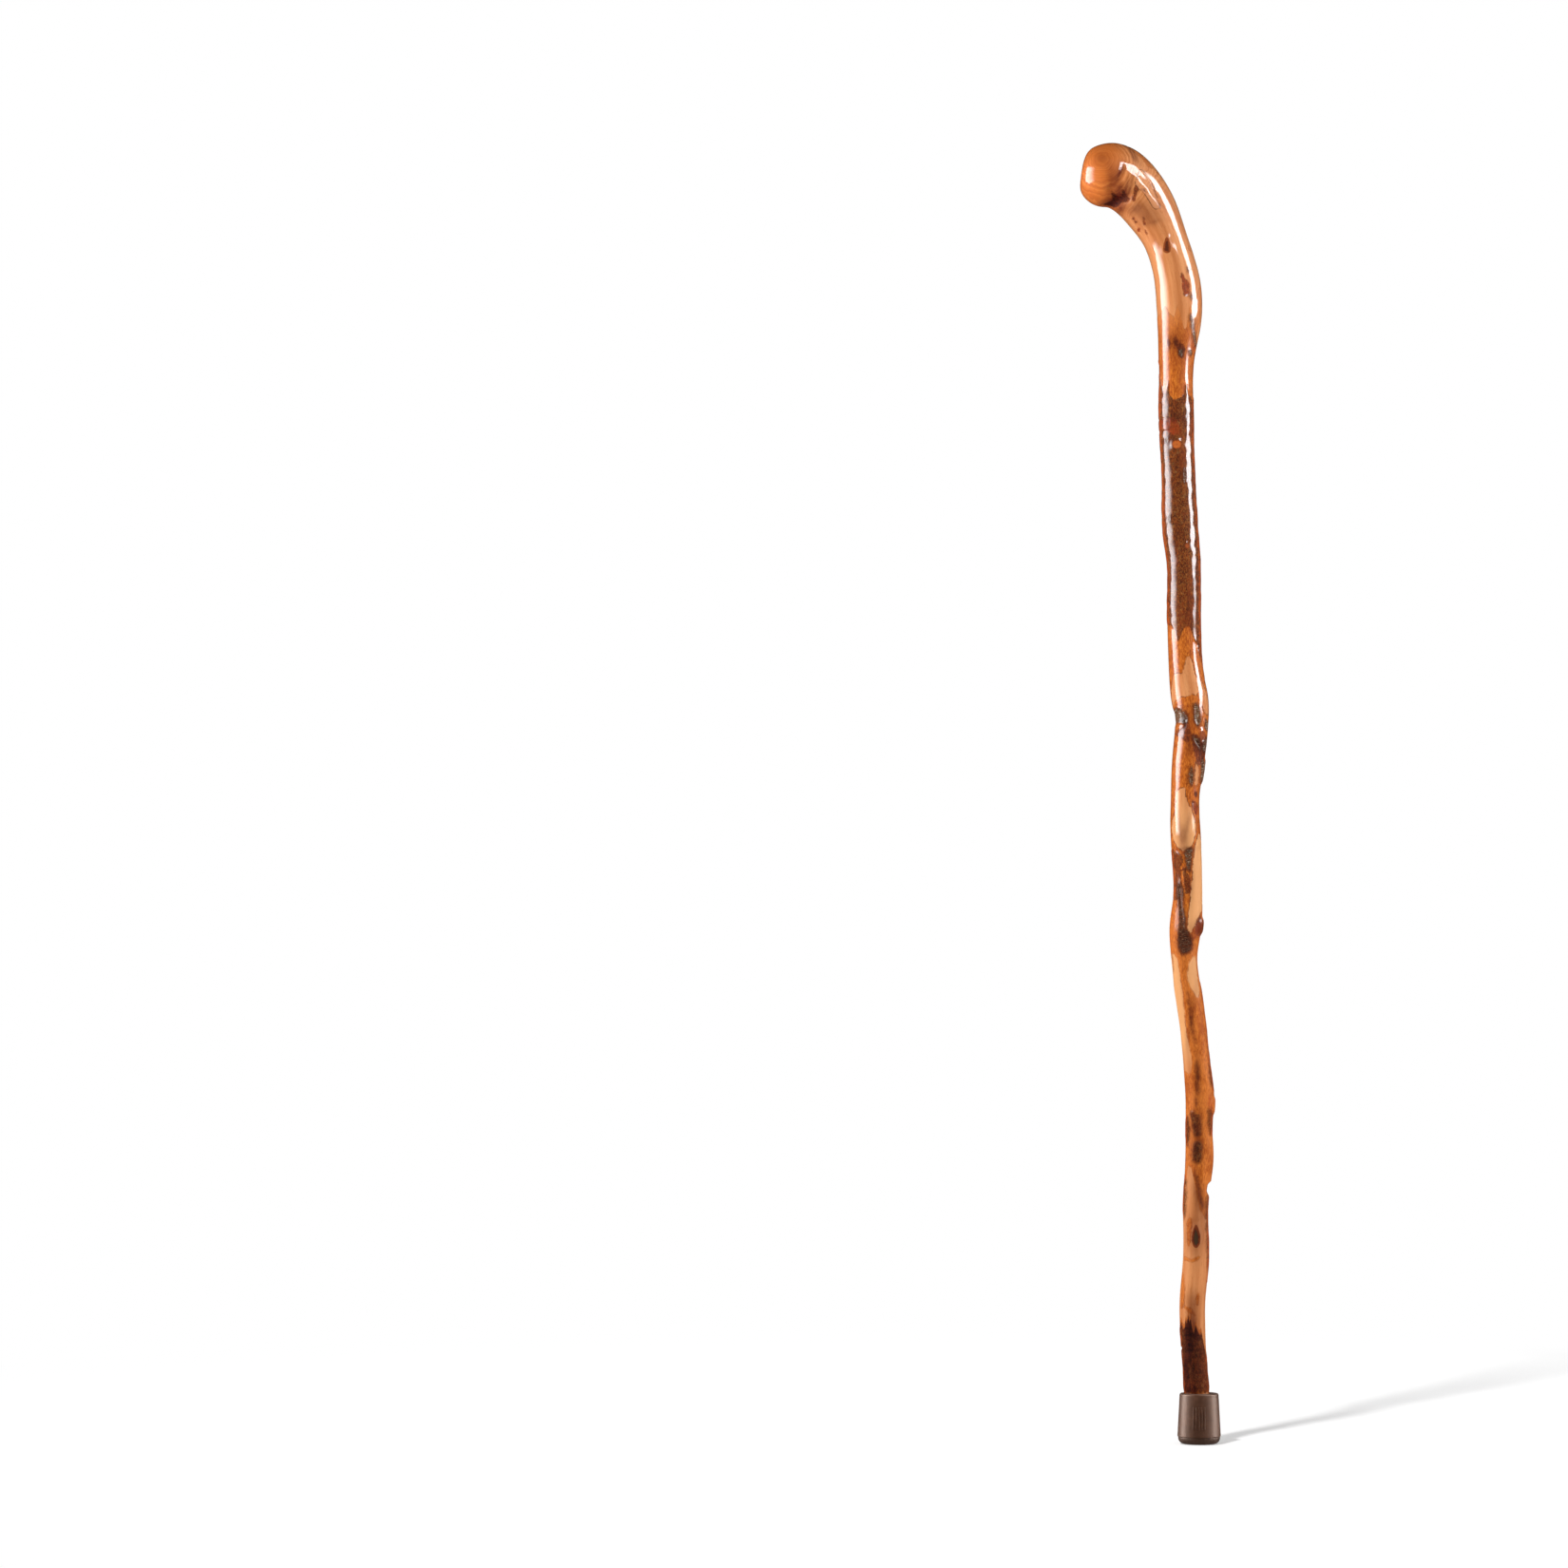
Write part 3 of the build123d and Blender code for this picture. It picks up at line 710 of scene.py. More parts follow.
def make_stick(material):
    """The stick's skin, closed by a cap on the knob and by the sawn end of the foot."""
    skin_points = skin.place + skin.out * relief()[..., None]
    foot_centre = skin.axis[0]
    share = (np.arange(1, FOOT_RINGS) / FOOT_RINGS)[:, None, None]
    foot_points = foot_centre + (skin_points[0] - foot_centre)[None] * share
    rings = np.concatenate([foot_points, skin_points[:-1]])
    points = np.concatenate([rings.reshape(-1, 3), [foot_centre, skin_points[-1].mean(axis=0)]])
    count = len(rings)
    low_pole, high_pole = count * ROUND, count * ROUND + 1
    faces = grid_faces(count, ROUND, 0)
    faces += fan(low_pole, 0, ROUND, upward=False)
    faces += fan(high_pole, (count - 1) * ROUND, ROUND, upward=True)
    stick = make_mesh("stick_lacquered", points, faces, "stick", material)
    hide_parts("stick")
    foot_straight = straight[0] * np.concatenate([share, share, np.ones_like(share)], axis=2)
    at = np.concatenate([foot_straight, straight[:-1]]).reshape(-1, 3)
    at = np.concatenate([at, [[0, 0, 0], straight[-1].mean(axis=0)]])
    stick.data.attributes.new("straight", "FLOAT_VECTOR", "POINT").data.foreach_set("vector", at.ravel())
    for name, field in fields.items():
        foot_rows = np.repeat(field[:1], FOOT_RINGS - 1, axis=0)
        pole_values = [field[0, 0], field[-1].mean()]
        if name == "ringed":
            foot_rows, pole_values[0] = foot_rows * 0 + 1, 1
        if name == "pith":
            foot_rows = np.broadcast_to(share[..., 0] * skin.radius[0], foot_rows.shape)
            pole_values[0] = 0
        values = np.concatenate([np.concatenate([foot_rows, field[:-1]]).ravel(), pole_values])
        stick.data.attributes.new(name, "FLOAT", "POINT").data.foreach_set("value", values)
    return stick


# ---- materials ------------------------------------------------------------------------------------

# Runs in mm between which a look comes in, absent at the first and full at the second.
PALE_FROM_TOP = (460.0, 430.0)  # the palest sapwood begins, going down
PALE_FROM_BASE = (255.0, 285.0) # and begins, going up
YOUNG_BARK = (782.0, 814.0)     # inner bark is thin and pale above
FADED_BARK = (782.0, 806.0)     # and its edges are faint
LOWER_BARK = (375.0, 325.0)     # inner bark is paler below
BLURRED = (380.0, 330.0)        # edges of bark are blurred below
BROWN_SCARS = (412.0, 396.0)    # scars are brown below
THIN_LACQUER = (436.0, 400.0)   # the lacquer is worn thin below
GREY_HEART = (200.0, 180.0)     # hearts of knots are grey below
BANDED = (130.0, 110.0)         # outer bark is banded crosswise below
SCORCHED = (106.0, 82.0)        # and is darkened below
PAINTED_SIDE_LIGHT = (-60.0, 120.0)         # the painted side light on its two sides comes in more and more going up
RUBBER_GLOSS = (1.0, 0.74, 0.6, 1)      # linear tint of the rubber's shine


def colour(red, green, blue):
    """A linear colour from the 0-255 values that a screen shows."""
    shown = [c / 255 for c in (red, green, blue)]
    return tuple(c / 12.92 if c < 0.04045 else ((c + 0.055) / 1.055) ** 2.4 for c in shown) + (1.0,)


class Graph:
    """A material's node tree, built with short calls."""

    def __init__(self, name):
        self.material = bpy.data.materials.new(name)
        self.material.use_nodes = True
        self.tree = self.material.node_tree
        self.tree.nodes.clear()

    @classmethod
    def on(cls, tree):
        """Short calls for another node tree, such as a light's."""
        graph = cls.__new__(cls)
        graph.tree = tree
        tree.nodes.clear()
        return graph

    def node(self, kind, inputs, output=0, **settings):
        made = self.tree.nodes.new("ShaderNode" + kind)
        for key, value in settings.items():
            setattr(made, key, value)
        for key, value in inputs.items():
            if isinstance(value, bpy.types.NodeSocket):
                self.tree.links.new(value, made.inputs[key])
            else:
                made.inputs[key].default_value = value
        return made.outputs[output] if made.outputs else made

    def field(self, name):
        return self.node("Attribute", {}, "Fac", attribute_name=name)

    def maths(self, operation, a, b=0.0):
        return self.node("Math", {0: a, 1: b}, operation=operation)

    def add(self, *values):
        total = values[0]
        for value in values[1:]:
            total = self.maths("ADD", total, value)
        return total

    def times(self, a, b):
        return self.maths("MULTIPLY", a, b)

    def soft(self, value, low, high):
        """0 below low, 1 above high, smooth between; low may be the larger."""
        return self.node(
            "MapRange", {0: value, 1: low, 2: high, 3: 0.0, 4: 1.0}, interpolation_type="SMOOTHSTEP"
        )

    def ramp(self, value, *stops):
        """Colours along 0-1, given as (place, red, green, blue)."""
        output = self.node("ValToRGB", {0: value})
        band = output.node.color_ramp
        while len(band.elements) < len(stops):
            band.elements.new(0.5)
        for element, (place, *shown) in zip(band.elements, stops):
            element.position = place
            element.color = colour(*shown)
        return output

    def blend(self, share, a, b, blend_type="MIX"):
        return self.node("Mix", {0: share, 6: a, 7: b}, 2, data_type="RGBA", blend_type=blend_type)

    def over(self, tint, share, *shown):
        """The tint with a share of a 0-255 colour laid over it."""
        return self.blend(share, tint, colour(*shown))

    def noise(self, at, size, seed, stretch=1.0, detail=3.0, roughness=0.55):
        """Noise with grains of that size along X and Y, and stretch times as long along Z."""
        scale = (1 / size, 1 / size, 1 / (size * stretch))
        place = (seed * 7.3, seed * -3.1, seed * 5.7)
        scaled = self.node("VectorMath", {0: at, 1: scale}, operation="MULTIPLY")
        moved = self.node("VectorMath", {0: scaled, 1: place}, operation="ADD")
        inputs = {"Vector": moved, "Scale": 1.0, "Detail": detail, "Roughness": roughness}
        return self.node("TexNoise", inputs)

    def bump(self, height, distance, strength):
        return self.node("Bump", {"Height": height, "Distance": distance, "Strength": strength})

    def finish(self, **inputs):
        """Ends the tree in a Principled shader; underscores in the names stand for spaces."""
        named = {key.replace("_", " "): value for key, value in inputs.items()}
        shader = self.node("BsdfPrincipled", named)
        self.node("OutputMaterial", {"Surface": shader})
        return self.material


def sapwood(g, at):
    """Pale planed wood with fine lengthwise grain and small pores."""
    broad = g.noise(at, 5, 1, stretch=16, detail=2)
    grain = g.noise(at, 0.9, 2, stretch=14, detail=4)
    pores = g.noise(at, 0.4, 3, stretch=7, detail=2)
    tint = g.ramp(broad, (0.3, 172, 101, 52), (0.5, 190, 120, 70), (0.7, 203, 137, 86))
    tint = g.over(tint, g.times(g.soft(grain, 0.5, 0.75), 0.4), 166, 94, 46)
    tint = g.over(tint, g.times(g.soft(pores, 0.6, 0.7), 0.3), 124, 62, 26)
    run = g.field("run")
    pale = g.times(g.soft(run, *PALE_FROM_TOP), g.soft(run, *PALE_FROM_BASE))
    return g.over(tint, g.times(pale, 0.5), 220, 166, 110), grain


def knob_wood(g, at, tint):
    """Orange end grain with growth rings round the pith; paler and plainer towards the neck."""
    pith = g.field("pith")
    drift = g.noise(at, 9, 4, detail=3)
    along = g.add(g.times(pith, 0.7), g.times(drift, 3.4))
    grains = {"W": along, "Scale": 1.0, "Detail": 3.0, "Roughness": 0.7}
    ring = g.node("TexNoise", grains, noise_dimensions="1D")
    fleck = g.noise(at, 0.7, 5, detail=4, roughness=0.65)
    warm = g.ramp(ring, (0.3, 176, 84, 24), (0.5, 194, 100, 34), (0.7, 206, 116, 46))
    pale = g.ramp(ring, (0.3, 164, 94, 46), (0.48, 194, 122, 68), (0.7, 212, 144, 90))
    rings = g.blend(g.field("knob"), pale, warm)
    rings = g.over(rings, g.times(g.soft(fleck, 0.5, 0.7), 0.35), 150, 76, 24)
    return g.blend(g.times(g.field("ringed"), 0.85), tint, rings)


def inner_bark(g, at):
    """Orange-brown fibrous bark, paler low down on the stick."""
    coarse = g.noise(at, 8, 6, stretch=2.5, detail=3)
    fibre = g.noise(at, 0.9, 7, stretch=3.0, detail=5, roughness=0.7)
    tint = g.ramp(fibre, (0.34, 124, 51, 6), (0.5, 176, 89, 22), (0.64, 202, 117, 38))
    tint = g.over(tint, g.times(g.soft(coarse, 0.45, 0.7), 0.55), 142, 62, 14)
    young = g.times(g.soft(g.field("run"), *YOUNG_BARK), g.soft(coarse, 0.85, 0.4))
    tint = g.over(tint, g.times(young, 0.85), 190, 116, 62)
    lower = g.times(g.soft(g.field("run"), *LOWER_BARK), g.soft(coarse, 0.62, 0.4))
    return g.over(tint, g.times(lower, 0.5), 194, 110, 46), fibre


def outer_bark(g, at):
    """Dark brown bark with a fine upright grit and corky flecks, with painted side light: orange on both
    sides of the stick.
    """
    grit = g.noise(at, 0.75, 8, stretch=3.2, detail=5, roughness=0.75)
    fleck = g.noise(at, 0.55, 9, stretch=2.4, detail=4, roughness=0.7)
    zone = g.noise(at, 10, 10, stretch=3, detail=2)
    red = g.noise(at, 9, 11, stretch=5, detail=2)
    band = g.noise(at, 9, 20, stretch=0.28, detail=3)
    run = g.field("run")
    tint = g.ramp(grit, (0.36, 46, 14, 2), (0.5, 90, 35, 5), (0.63, 144, 70, 16))
    tint = g.over(tint, g.times(g.soft(red, 0.46, 0.64), 0.4), 132, 54, 12)
    cork = g.times(g.soft(fleck, 0.5, 0.62), g.add(0.25, g.soft(zone, 0.4, 0.58)))
    tint = g.over(tint, g.times(cork, 0.5), 152, 98, 40)
    plate = g.soft(g.noise(at, 3.4, 24, stretch=1.3, detail=5, roughness=0.65), 0.54, 0.64)
    tint = g.over(tint, g.times(plate, 0.3), 152, 108, 60)
    crack = g.maths("ABSOLUTE", g.maths("SUBTRACT", g.noise(at, 3.0, 25, stretch=0.35, detail=4), 0.5))
    tint = g.over(tint, g.times(g.soft(crack, 0.03, 0.004), 0.55), 40, 14, 4)
    scorch = g.times(g.soft(run, *SCORCHED), g.add(0.55, g.times(g.soft(zone, 0.56, 0.44), 0.35)))
    tint = g.blend(scorch, tint, colour(140, 74, 40), "MULTIPLY")
    banded = g.times(g.soft(band, 0.42, 0.68), g.soft(run, *BANDED))
    tint = g.over(tint, g.times(banded, 0.22), 124, 50, 12)
    streak = g.noise(at, 1.6, 26, stretch=3.5, detail=4, roughness=0.65)
    # Painted side light: the bark on both sides of the stick, as seen from the front, painted bright orange
    # where side lamps light its edges.
    painted_side_light = g.add(g.times(g.field("flank"), 0.75), g.times(streak, 1.5), g.times(grit, 1.0), -1.25)
    painted_side_light = g.times(g.soft(painted_side_light, 0.35, 1.0), g.soft(run, *PAINTED_SIDE_LIGHT))
    return g.over(tint, g.times(painted_side_light, 0.75), 188, 80, 14), grit


def scarred(g, at):
    """Grey cork with pale flecks and brown pits, browner and wrinkled crosswise low down."""
    grit = g.noise(at, 0.7, 12, stretch=0.9, detail=5, roughness=0.8)
    wrinkle = g.noise(at, 2.4, 17, stretch=0.26, detail=3)
    mixed = g.add(g.times(grit, 0.6), g.times(wrinkle, 0.4))
    tint = g.ramp(
        mixed, (0.38, 30, 13, 5), (0.47, 80, 50, 30), (0.53, 112, 86, 62),
        (0.6, 172, 154, 132), (0.7, 208, 198, 182),
    )
    brown = g.soft(g.field("run"), *BROWN_SCARS)
    return g.blend(g.times(brown, 0.75), tint, colour(176, 118, 84), "MULTIPLY"), mixed


def bruised_and_shaded(g, at):
    """Dark reddish wood with a coarse grit, where the surface was knocked or rotted a little, and painted
    shade in the pocket under the knob.
    """
    grit = g.noise(at, 1.3, 18, stretch=1.6, detail=5, roughness=0.7)
    return g.ramp(grit, (0.34, 58, 20, 5), (0.5, 108, 42, 12), (0.66, 162, 78, 28))


def knot_wood(g, at, inside):
    """Rings that follow the outline round a dark heart, from the distance inside it in mm."""
    wavering = g.add(inside, g.times(g.noise(at, 1.2, 19, stretch=1.5), 0.9))
    tint = g.ramp(
        g.times(wavering, 0.25), (0.1, 72, 28, 8), (0.24, 176, 84, 28), (0.5, 190, 100, 38),
        (0.85, 170, 82, 28),
    )
    ring = g.soft(g.maths("SINE", g.times(wavering, 7.5)), 0.1, 0.9)
    tint = g.over(tint, g.times(ring, 0.3), 104, 42, 12)
    fleck = g.noise(at, 1.0, 23, stretch=1.8, detail=4)
    tint = g.over(tint, g.times(g.soft(fleck, 0.5, 0.7), 0.5), 112, 44, 14)
    tint = g.over(tint, g.times(g.soft(g.field("heart"), 0.0, 0.3), 0.55), 112, 48, 20)
    heart = g.soft(g.add(g.field("heart"), g.times(fleck, 0.5)), 0.66, 1.02)
    tint = g.over(tint, g.times(heart, 0.85), 66, 24, 10)
    core = g.times(g.soft(g.field("heart"), 0.55, 0.85), g.soft(g.field("run"), *GREY_HEART))
    return g.over(tint, g.times(core, 0.7), 88, 78, 52)


def lacquered_wood():
    """Sapwood, inner bark, outer bark, knots and scars under a thick clear lacquer."""
    g = Graph("lacquered_wood")
    at = g.node("Attribute", {}, "Vector", attribute_name="straight")
    wander = g.maths("SUBTRACT", g.noise(at, 3.2, 13, stretch=1.5), 0.5)
    ragged = g.maths("SUBTRACT", g.noise(at, 0.8, 14, stretch=1.5, detail=4), 0.5)
    shift = g.add(g.times(wander, 2.6), g.times(ragged, 1.6))
    inner_edge = g.add(g.field("inner"), shift)
    bark_edge = g.add(g.field("bark"), g.times(shift, 1.6))
    scar_edge = g.add(g.field("scar"), g.times(shift, 1.5))
    lower = g.soft(g.field("run"), *BLURRED)
    bruise_and_shade_edge = g.add(g.field("bruise_and_shade"), g.times(shift, 1.3))
    ruddy_edge = g.add(g.field("ruddy"), g.times(shift, 1.4))
    knot_edge = g.add(g.field("knot"), g.times(ragged, 0.9))

    tint, grain = sapwood(g, at)
    tint = knob_wood(g, at, tint)
    fibrous, fibre = inner_bark(g, at)
    gritty, grit = outer_bark(g, at)
    corky, scab = scarred(g, at)

    young = g.soft(g.field("run"), *FADED_BARK)
    unclear = g.add(lower, g.times(young, 0.6))
    hazy = g.node("Mix", {0: unclear, 2: g.soft(inner_edge, -0.1, 0.15), 3: g.soft(inner_edge, -1.0, 0.9)})
    tint = g.blend(hazy, tint, fibrous)
    line = g.times(g.soft(g.maths("ABSOLUTE", inner_edge), 0.55, 0.1), g.soft(wander, -0.2, 0.1))
    line = g.times(line, g.maths("SUBTRACT", 0.85, g.add(g.times(lower, 0.5), g.times(young, 0.35))))
    tint = g.over(tint, line, 88, 36, 8)
    blurred = g.node("Mix", {0: lower, 2: g.soft(bark_edge, -0.2, 0.25), 3: g.soft(bark_edge, -2.2, 1.6)})
    tint = g.blend(blurred, tint, gritty)
    # Bruises, and the painted shade of the pocket under the knob.
    sharp, soft = g.soft(bruise_and_shade_edge, -0.7, 0.5), g.soft(bruise_and_shade_edge, -1.6, 1.4)
    bruise_and_shade_share = g.node("Mix", {0: lower, 2: sharp, 3: soft})
    bruise_and_shade_share = g.times(bruise_and_shade_share, g.maths("SUBTRACT", 0.9, g.times(lower, 0.2)))
    tint = g.blend(bruise_and_shade_share, tint, bruised_and_shaded(g, at))
    blotch = g.noise(at, 1.8, 22, stretch=1.6, detail=5, roughness=0.7)
    mottle = g.add(0.15, g.times(g.soft(blotch, 0.38, 0.62), 0.55))
    tint = g.over(tint, g.times(g.soft(ruddy_edge, -0.8, 1.0), mottle), 148, 50, 10)
    tint = g.blend(g.soft(knot_edge, -0.15, 0.1), tint, knot_wood(g, at, knot_edge))
    halo = g.times(g.soft(scar_edge, -2.6, 0.3), 0.8)
    tint = g.over(tint, halo, 80, 33, 9)
    patchy = g.soft(g.noise(at, 1.5, 21, detail=5, roughness=0.65), 0.4, 0.54)
    corky_share = g.times(g.soft(scar_edge, -0.5, 0.9), g.add(0.2, g.times(patchy, 0.8)))
    tint = g.blend(corky_share, tint, corky)
    leaf = g.field("leaf")
    seam = g.maths("ABSOLUTE", g.add(leaf, g.times(ragged, 0.9)))
    seam = g.times(g.soft(seam, 0.5, 0.05), g.soft(wander, -0.25, 0.05))
    tint = g.over(tint, g.times(seam, 0.85), 74, 36, 14)
    tint = g.over(tint, g.times(g.soft(leaf, 0.0, 0.6), 0.25), 206, 150, 116)
    # Darkens the wood with the stains and with the painted shade round the pocket under the knob.
    stain_and_shade_share = g.times(g.field("stain_and_shade"), g.add(0.7, g.times(g.noise(at, 2.2, 15, stretch=2), 0.6)))
    tint = g.blend(stain_and_shade_share, tint, colour(112, 42, 10), "MULTIPLY")

    on_bark = g.soft(bark_edge, -0.3, 0.4)
    on_scar = g.soft(scar_edge, -0.3, 0.4)
    rough = g.add(0.5, g.times(on_bark, 0.2), g.times(grain, 0.1), g.times(g.field("nook"), 0.3))
    height = g.add(
        g.times(grain, 0.12), g.times(g.times(fibre, g.soft(inner_edge, -0.3, 0.3)), 0.3),
        g.times(g.times(grit, on_bark), 0.9), g.times(g.times(scab, on_scar), 1.3), g.times(line, -0.3),
        g.times(seam, -0.4),
    )
    below = g.bump(height, 0.00025, 0.8)
    ripple = g.noise(at, 6, 16, stretch=2.5, detail=2)
    film = g.add(
        g.times(ripple, 0.35), g.times(g.times(grit, on_bark), 0.16), g.times(g.times(scab, on_scar), 0.8),
        g.times(fibre, 0.05), g.times(seam, -0.2),
    )
    above = g.bump(film, 0.00022, 0.6)
    worn = g.soft(g.field("run"), *THIN_LACQUER)
    coat = g.maths("SUBTRACT", 1.0, g.times(on_scar, 0.35))
    coat = g.times(coat, g.maths("SUBTRACT", 1.0, g.times(worn, 0.7)))
    coat = g.times(coat, g.soft(g.field("nook"), 0.5, 0.2))
    return g.finish(
        Base_Color=tint, Roughness=rough, Normal=below, Coat_Weight=coat, Coat_Roughness=0.05, Coat_IOR=1.5,
        Coat_Normal=above, Specular_IOR_Level=0.1,
    )


def moulded_rubber():
    """Dark brown satin rubber with a faint bloom, fine pitting and scuffs near the ground."""
    g = Graph("tip_rubber")
    at = g.node("TexCoord", {}, "Object")
    bloom = g.noise(at, 0.006, 1, detail=4)
    pit = g.noise(at, 0.0006, 2, detail=3)
    scuff = g.noise(at, 0.0018, 3, stretch=0.4, detail=5, roughness=0.7)
    low = g.node("SeparateXYZ", {0: at}, "Z")
    worn = g.times(g.soft(low, 0.007, 0.0005), g.soft(scuff, 0.45, 0.65))
    tint = g.ramp(bloom, (0.3, 58, 32, 18), (0.55, 68, 39, 23), (0.75, 80, 48, 32))
    # Painted shade: the lowest 5 mm of the rubber, next to the floor, darkened.
    tint = g.over(tint, g.times(g.soft(low, 0.0056, 0.0048), 0.5), 40, 26, 20)
    tint = g.over(tint, g.times(worn, 0.5), 70, 58, 50)
    rough = g.add(0.36, g.times(bloom, 0.16), g.times(worn, 0.25))
    height = g.add(g.times(pit, 0.5), g.times(scuff, 0.4))
    return g.finish(
        Base_Color=tint, Roughness=rough, Normal=g.bump(height, 0.00008, 0.6), Specular_Tint=RUBBER_GLOSS,
        Sheen_Weight=0.1, Sheen_Tint=RUBBER_GLOSS,
    )


def zinc_plate():
    """Bright zinc with turning marks and dull spots."""
    g = Graph("washer_steel")
    at = g.node("TexCoord", {}, "Object")
    spot = g.noise(at, 0.003, 1, detail=4)
    mark = g.noise(at, 0.0005, 2, stretch=6, detail=2)
    tint = g.ramp(spot, (0.3, 150, 150, 146), (0.6, 188, 188, 186), (0.8, 206, 204, 198))
    rough = g.add(0.26, g.times(spot, 0.25))
    return g.finish(Base_Color=tint, Roughness=rough, Metallic=1.0, Normal=g.bump(mark, 0.00003, 0.5))


def paint_node(name, material):
    """Puts a material on every slot of a CAD node."""
    for slot in frame["nodes"][name].material_slots:
        slot.material = material


stick = make_stick(lacquered_wood())
paint_node("rubber_tip", moulded_rubber())
paint_node("tip_washer", zinc_plate())


# ---- studio ---------------------------------------------------------------------------------------

CAMERA_DISTANCE = 4.2       # metres from the cane
CAMERA_HEIGHT = 0.36
VIEW_WIDTH = 1.1345         # metres across the picture at the cane
CAMERA_ROLL = 0.12          # degrees
CANE_RIGHT_OF_MIDDLE = 0.3005
VIEW_MIDDLE_HEIGHT = 0.4749
SENSOR = 36.0
FARTHEST = 50                # metres, the limit of what the camera sees
ROOM_LIGHT = 0.30           # how bright the surroundings are as a light
PANEL_TINT = (0.94, 0.965, 1.0, 1)
FLOOR_MATTE = (0.9, 0.9, 0.9, 1)
FLOOR_GLOW = 0.36
FLOOR_FADE = (0.5, 1.2)      # metres from the cane
FLOOR_SIZE = 20
FLOOR_DROP = 0.0002          # keeps the floor clear of the tip's sole
PANEL_TOP = 0.88             # share of a panel's height above which it fades
PANEL_FAR_EDGE = 0.1         # share of its width over which the far edge fades


def look_at(thing, target):
    """Turns a camera or a lamp towards a point."""
    thing.rotation_euler = (Vector(target) - thing.location).to_track_quat("-Z", "Y").to_euler()


def light_group(name, pieces):
    """A collection that a light can be kept to."""
    group = bpy.data.collections.new(name)
    for piece in pieces:
        group.objects.link(piece)
    return group


def add_camera():
    """The camera in front of the cane, which stands right of the middle of the picture."""
    data = bpy.data.cameras.new("camera")
    camera = bpy.data.objects.new("camera", data)
    bpy.context.scene.collection.objects.link(camera)
    data.sensor_width = SENSOR
    data.lens = SENSOR * CAMERA_DISTANCE / VIEW_WIDTH
    data.clip_end = FARTHEST
    camera.location = (0, -CAMERA_DISTANCE, CAMERA_HEIGHT)
    look_at(camera, (-CANE_RIGHT_OF_MIDDLE, 0, VIEW_MIDDLE_HEIGHT))
    camera.rotation_euler.rotate_axis("Z", math.radians(CAMERA_ROLL))
    bpy.context.scene.camera = camera


def add_panel(
    name, azimuth, distance, low, high, width, power, aim=None, shines=False, onto=None,
    fades=0.0, foot=1.0, widens=(0.15, 0.24), rises=0.11,
):
    """A soft panel light. Azimuth 0 is behind the camera and 90 on the right; it stands upright unless aimed.

    Distances are in metres; low and high are the heights of its ends. A panel that shines shows in shiny
    surfaces and does nothing else, and the others only light what they fall on. fades is the share of its
    width, on the camera's side, over which it comes up to full strength.
    """
    data = bpy.data.lights.new(name, "AREA")
    data.shape = "RECTANGLE"
    data.size, data.size_y = width, high - low
    data.energy = power
    panel = bpy.data.objects.new(name, data)
    bpy.context.scene.collection.objects.link(panel)
    turn = math.radians(azimuth)
    panel.location = (distance * math.sin(turn), -distance * math.cos(turn), (low + high) / 2)
    look_at(panel, aim or (0, 0, (low + high) / 2))
    panel.visible_glossy = shines
    panel.visible_diffuse = not shines
    panel.visible_camera = False
    if onto:
        panel.light_linking.receiver_collection = onto
    if fades:
        mask_panel(data, 0.0 if azimuth > 0 else 1.0, fades, foot, widens, rises)


def mask_panel(data, camera_side, fades, foot, widens, rises):
    """Fades a panel towards the camera and at both ends, and takes some width off its foot on the far side.

    foot is the share of the width that is left there; the panel widens between two shares of its height, and
    rises is the share of its height over which it comes up to full strength.
    """
    data.use_nodes = True
    g = Graph.on(data.node_tree)
    at = g.node("NewGeometry", {}, "Parametric")
    across, up = (g.node("SeparateXYZ", {0: at}, axis) for axis in "XY")
    sideways = g.maths("ABSOLUTE", g.maths("SUBTRACT", across, camera_side))
    far = g.add(foot, g.times(g.soft(up, *widens), 1.0 - foot))
    near_edge = g.soft(sideways, 0.0, fades)
    far_edge = g.soft(g.maths("SUBTRACT", far, sideways), 0.0, PANEL_FAR_EDGE)
    ends = g.times(g.soft(up, 0.0, rises), g.soft(up, 1.0, PANEL_TOP))
    strength = g.times(g.times(near_edge, far_edge), ends)
    g.node("OutputLight", {"Surface": g.node("Emission", {"Color": PANEL_TINT, "Strength": strength})})


def add_sun(name, azimuth, elevation, softness, power, onto):
    """A distant lamp, with the softness of its shadows in degrees."""
    data = bpy.data.lights.new(name, "SUN")
    data.energy = power
    data.angle = math.radians(softness)
    sun = bpy.data.objects.new(name, data)
    bpy.context.scene.collection.objects.link(sun)
    turn, rise = math.radians(azimuth), math.radians(elevation)
    sun.location = (math.sin(turn) * math.cos(rise), -math.cos(turn) * math.cos(rise), math.sin(rise))
    look_at(sun, (0, 0, 0))
    sun.light_linking.receiver_collection = onto


def add_floor():
    """A pale floor that glows enough to be white and still takes the cane's soft shadow."""
    bpy.ops.mesh.primitive_plane_add(size=FLOOR_SIZE, location=(0, 0, -FLOOR_DROP))
    floor = bpy.context.object
    floor.name = "floor"
    g = Graph("pale_floor")
    at = g.node("TexCoord", {}, "Object")
    distance = g.node("VectorMath", {0: at}, "Value", operation="LENGTH")
    matte = g.node("BsdfDiffuse", {"Color": FLOOR_MATTE})
    glow = g.node("Emission", {"Color": (1, 1, 1, 1), "Strength": FLOOR_GLOW})
    near = g.node("AddShader", {0: matte, 1: glow})
    far = g.node("Emission", {"Color": (1, 1, 1, 1), "Strength": 1.0})
    shader = g.node("MixShader", {0: g.soft(distance, *FLOOR_FADE), 1: near, 2: far})
    g.node("OutputMaterial", {"Surface": shader})
    floor.data.materials.append(g.material)
    floor.visible_glossy = False
    return floor


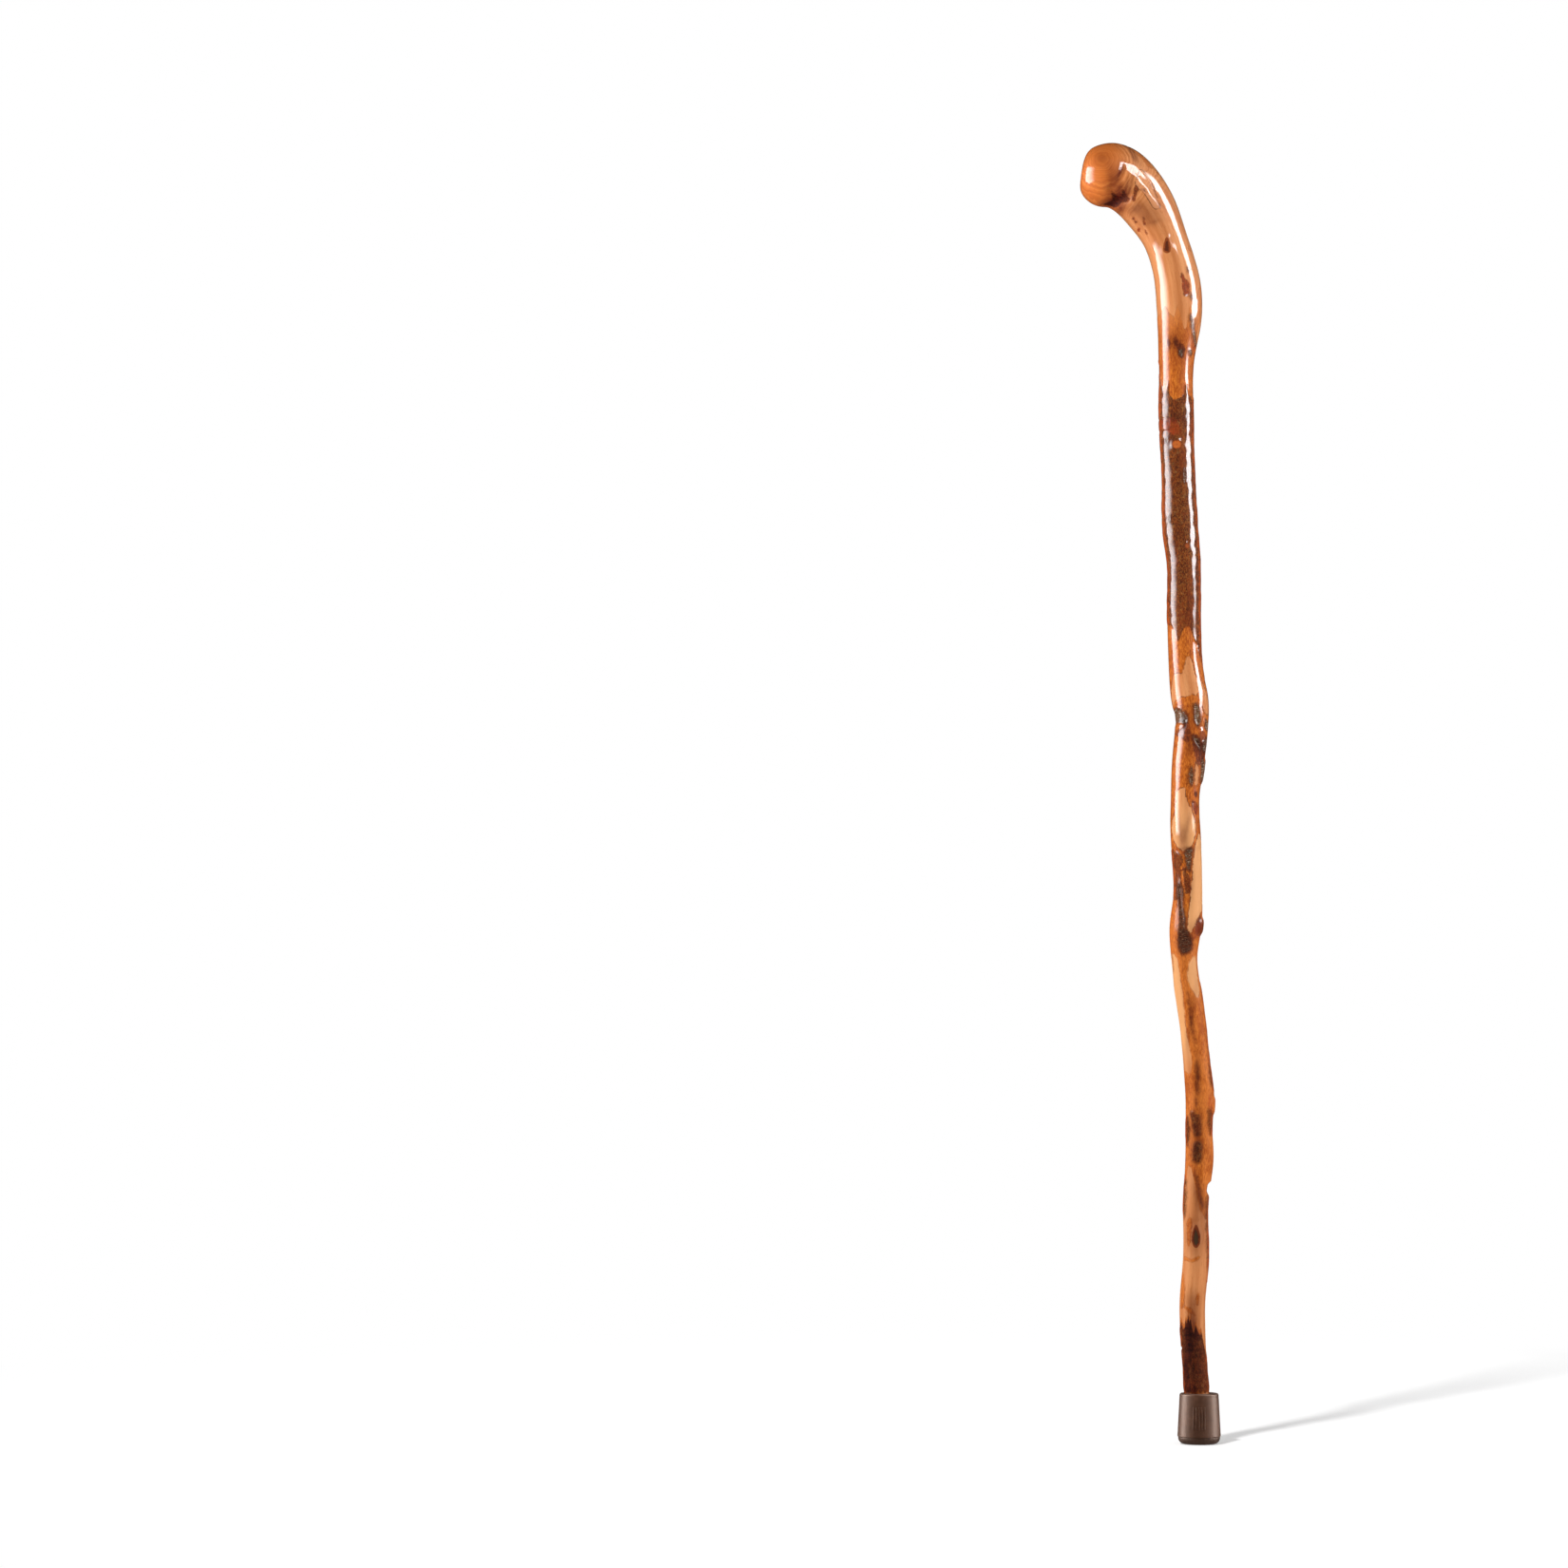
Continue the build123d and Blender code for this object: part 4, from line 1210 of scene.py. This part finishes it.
def add_surroundings():
    """White to look at, dimmer as a light and dark in shiny surfaces, as if black cloth stood round it."""
    world = bpy.data.worlds.new("white_room")
    world.use_nodes = True
    nodes, links = world.node_tree.nodes, world.node_tree.links
    background = nodes["Background"]
    path = nodes.new("ShaderNodeLightPath")
    strength = nodes.new("ShaderNodeMapRange")
    strength.inputs["To Min"].default_value = ROOM_LIGHT
    strength.inputs["To Max"].default_value = 1.0
    links.new(path.outputs["Is Camera Ray"], strength.inputs["Value"])
    links.new(strength.outputs["Result"], background.inputs["Strength"])
    background.inputs["Color"].default_value = (1, 1, 1, 1)
    world.cycles_visibility.glossy = False
    bpy.context.scene.world = world
    bpy.context.scene.view_settings.view_transform = "Standard"


tip_pieces = [frame["nodes"][name] for name in ("rubber_tip", "tip_washer")]
tip = light_group("tip", tip_pieces)
cane = light_group("cane", [stick, *tip_pieces])
add_camera()
floor = light_group("floor", [add_floor()])
add_surroundings()
# Each panel: azimuth, distance, low, high, width, power. The sun: azimuth, elevation, softness, power.
add_panel("left_softbox", -73, 1.2, 0.37, 1.5, 1.25, 60, shines=True, fades=0.6, foot=0.8)
add_panel("right_softbox", 82, 1.3, 0.51, 2.1, 0.7, 69, shines=True, fades=0.1, foot=0.67, rises=0.2)
add_panel(
    "neck_softbox", 41, 1.31, 1.1, 2.1, 0.7, 38, aim=(-0.045, 0, 0.915), shines=True,
    fades=0.05, foot=0.4, widens=(0.45, 0.65),
)
add_panel("left_side_light", -88, 1.5, 0.0, 1.4, 0.6, 22, onto=cane)
add_panel("right_side_light", 88, 1.5, 0.0, 1.4, 0.6, 22, onto=cane)
add_panel("key_light", -24, 2.3, 1.63, 2.23, 0.6, 44, aim=(0, 0, 0.3), onto=cane)
add_sun("shadow_light", -21.5, 40, 5, 2.2, onto=floor)
add_panel("left_tip_gloss", -95, 1.0, 0.0, 0.5, 0.5, 16, shines=True, onto=tip)
add_panel("right_tip_gloss", 95, 1.0, 0.0, 0.5, 0.5, 14, shines=True, onto=tip)
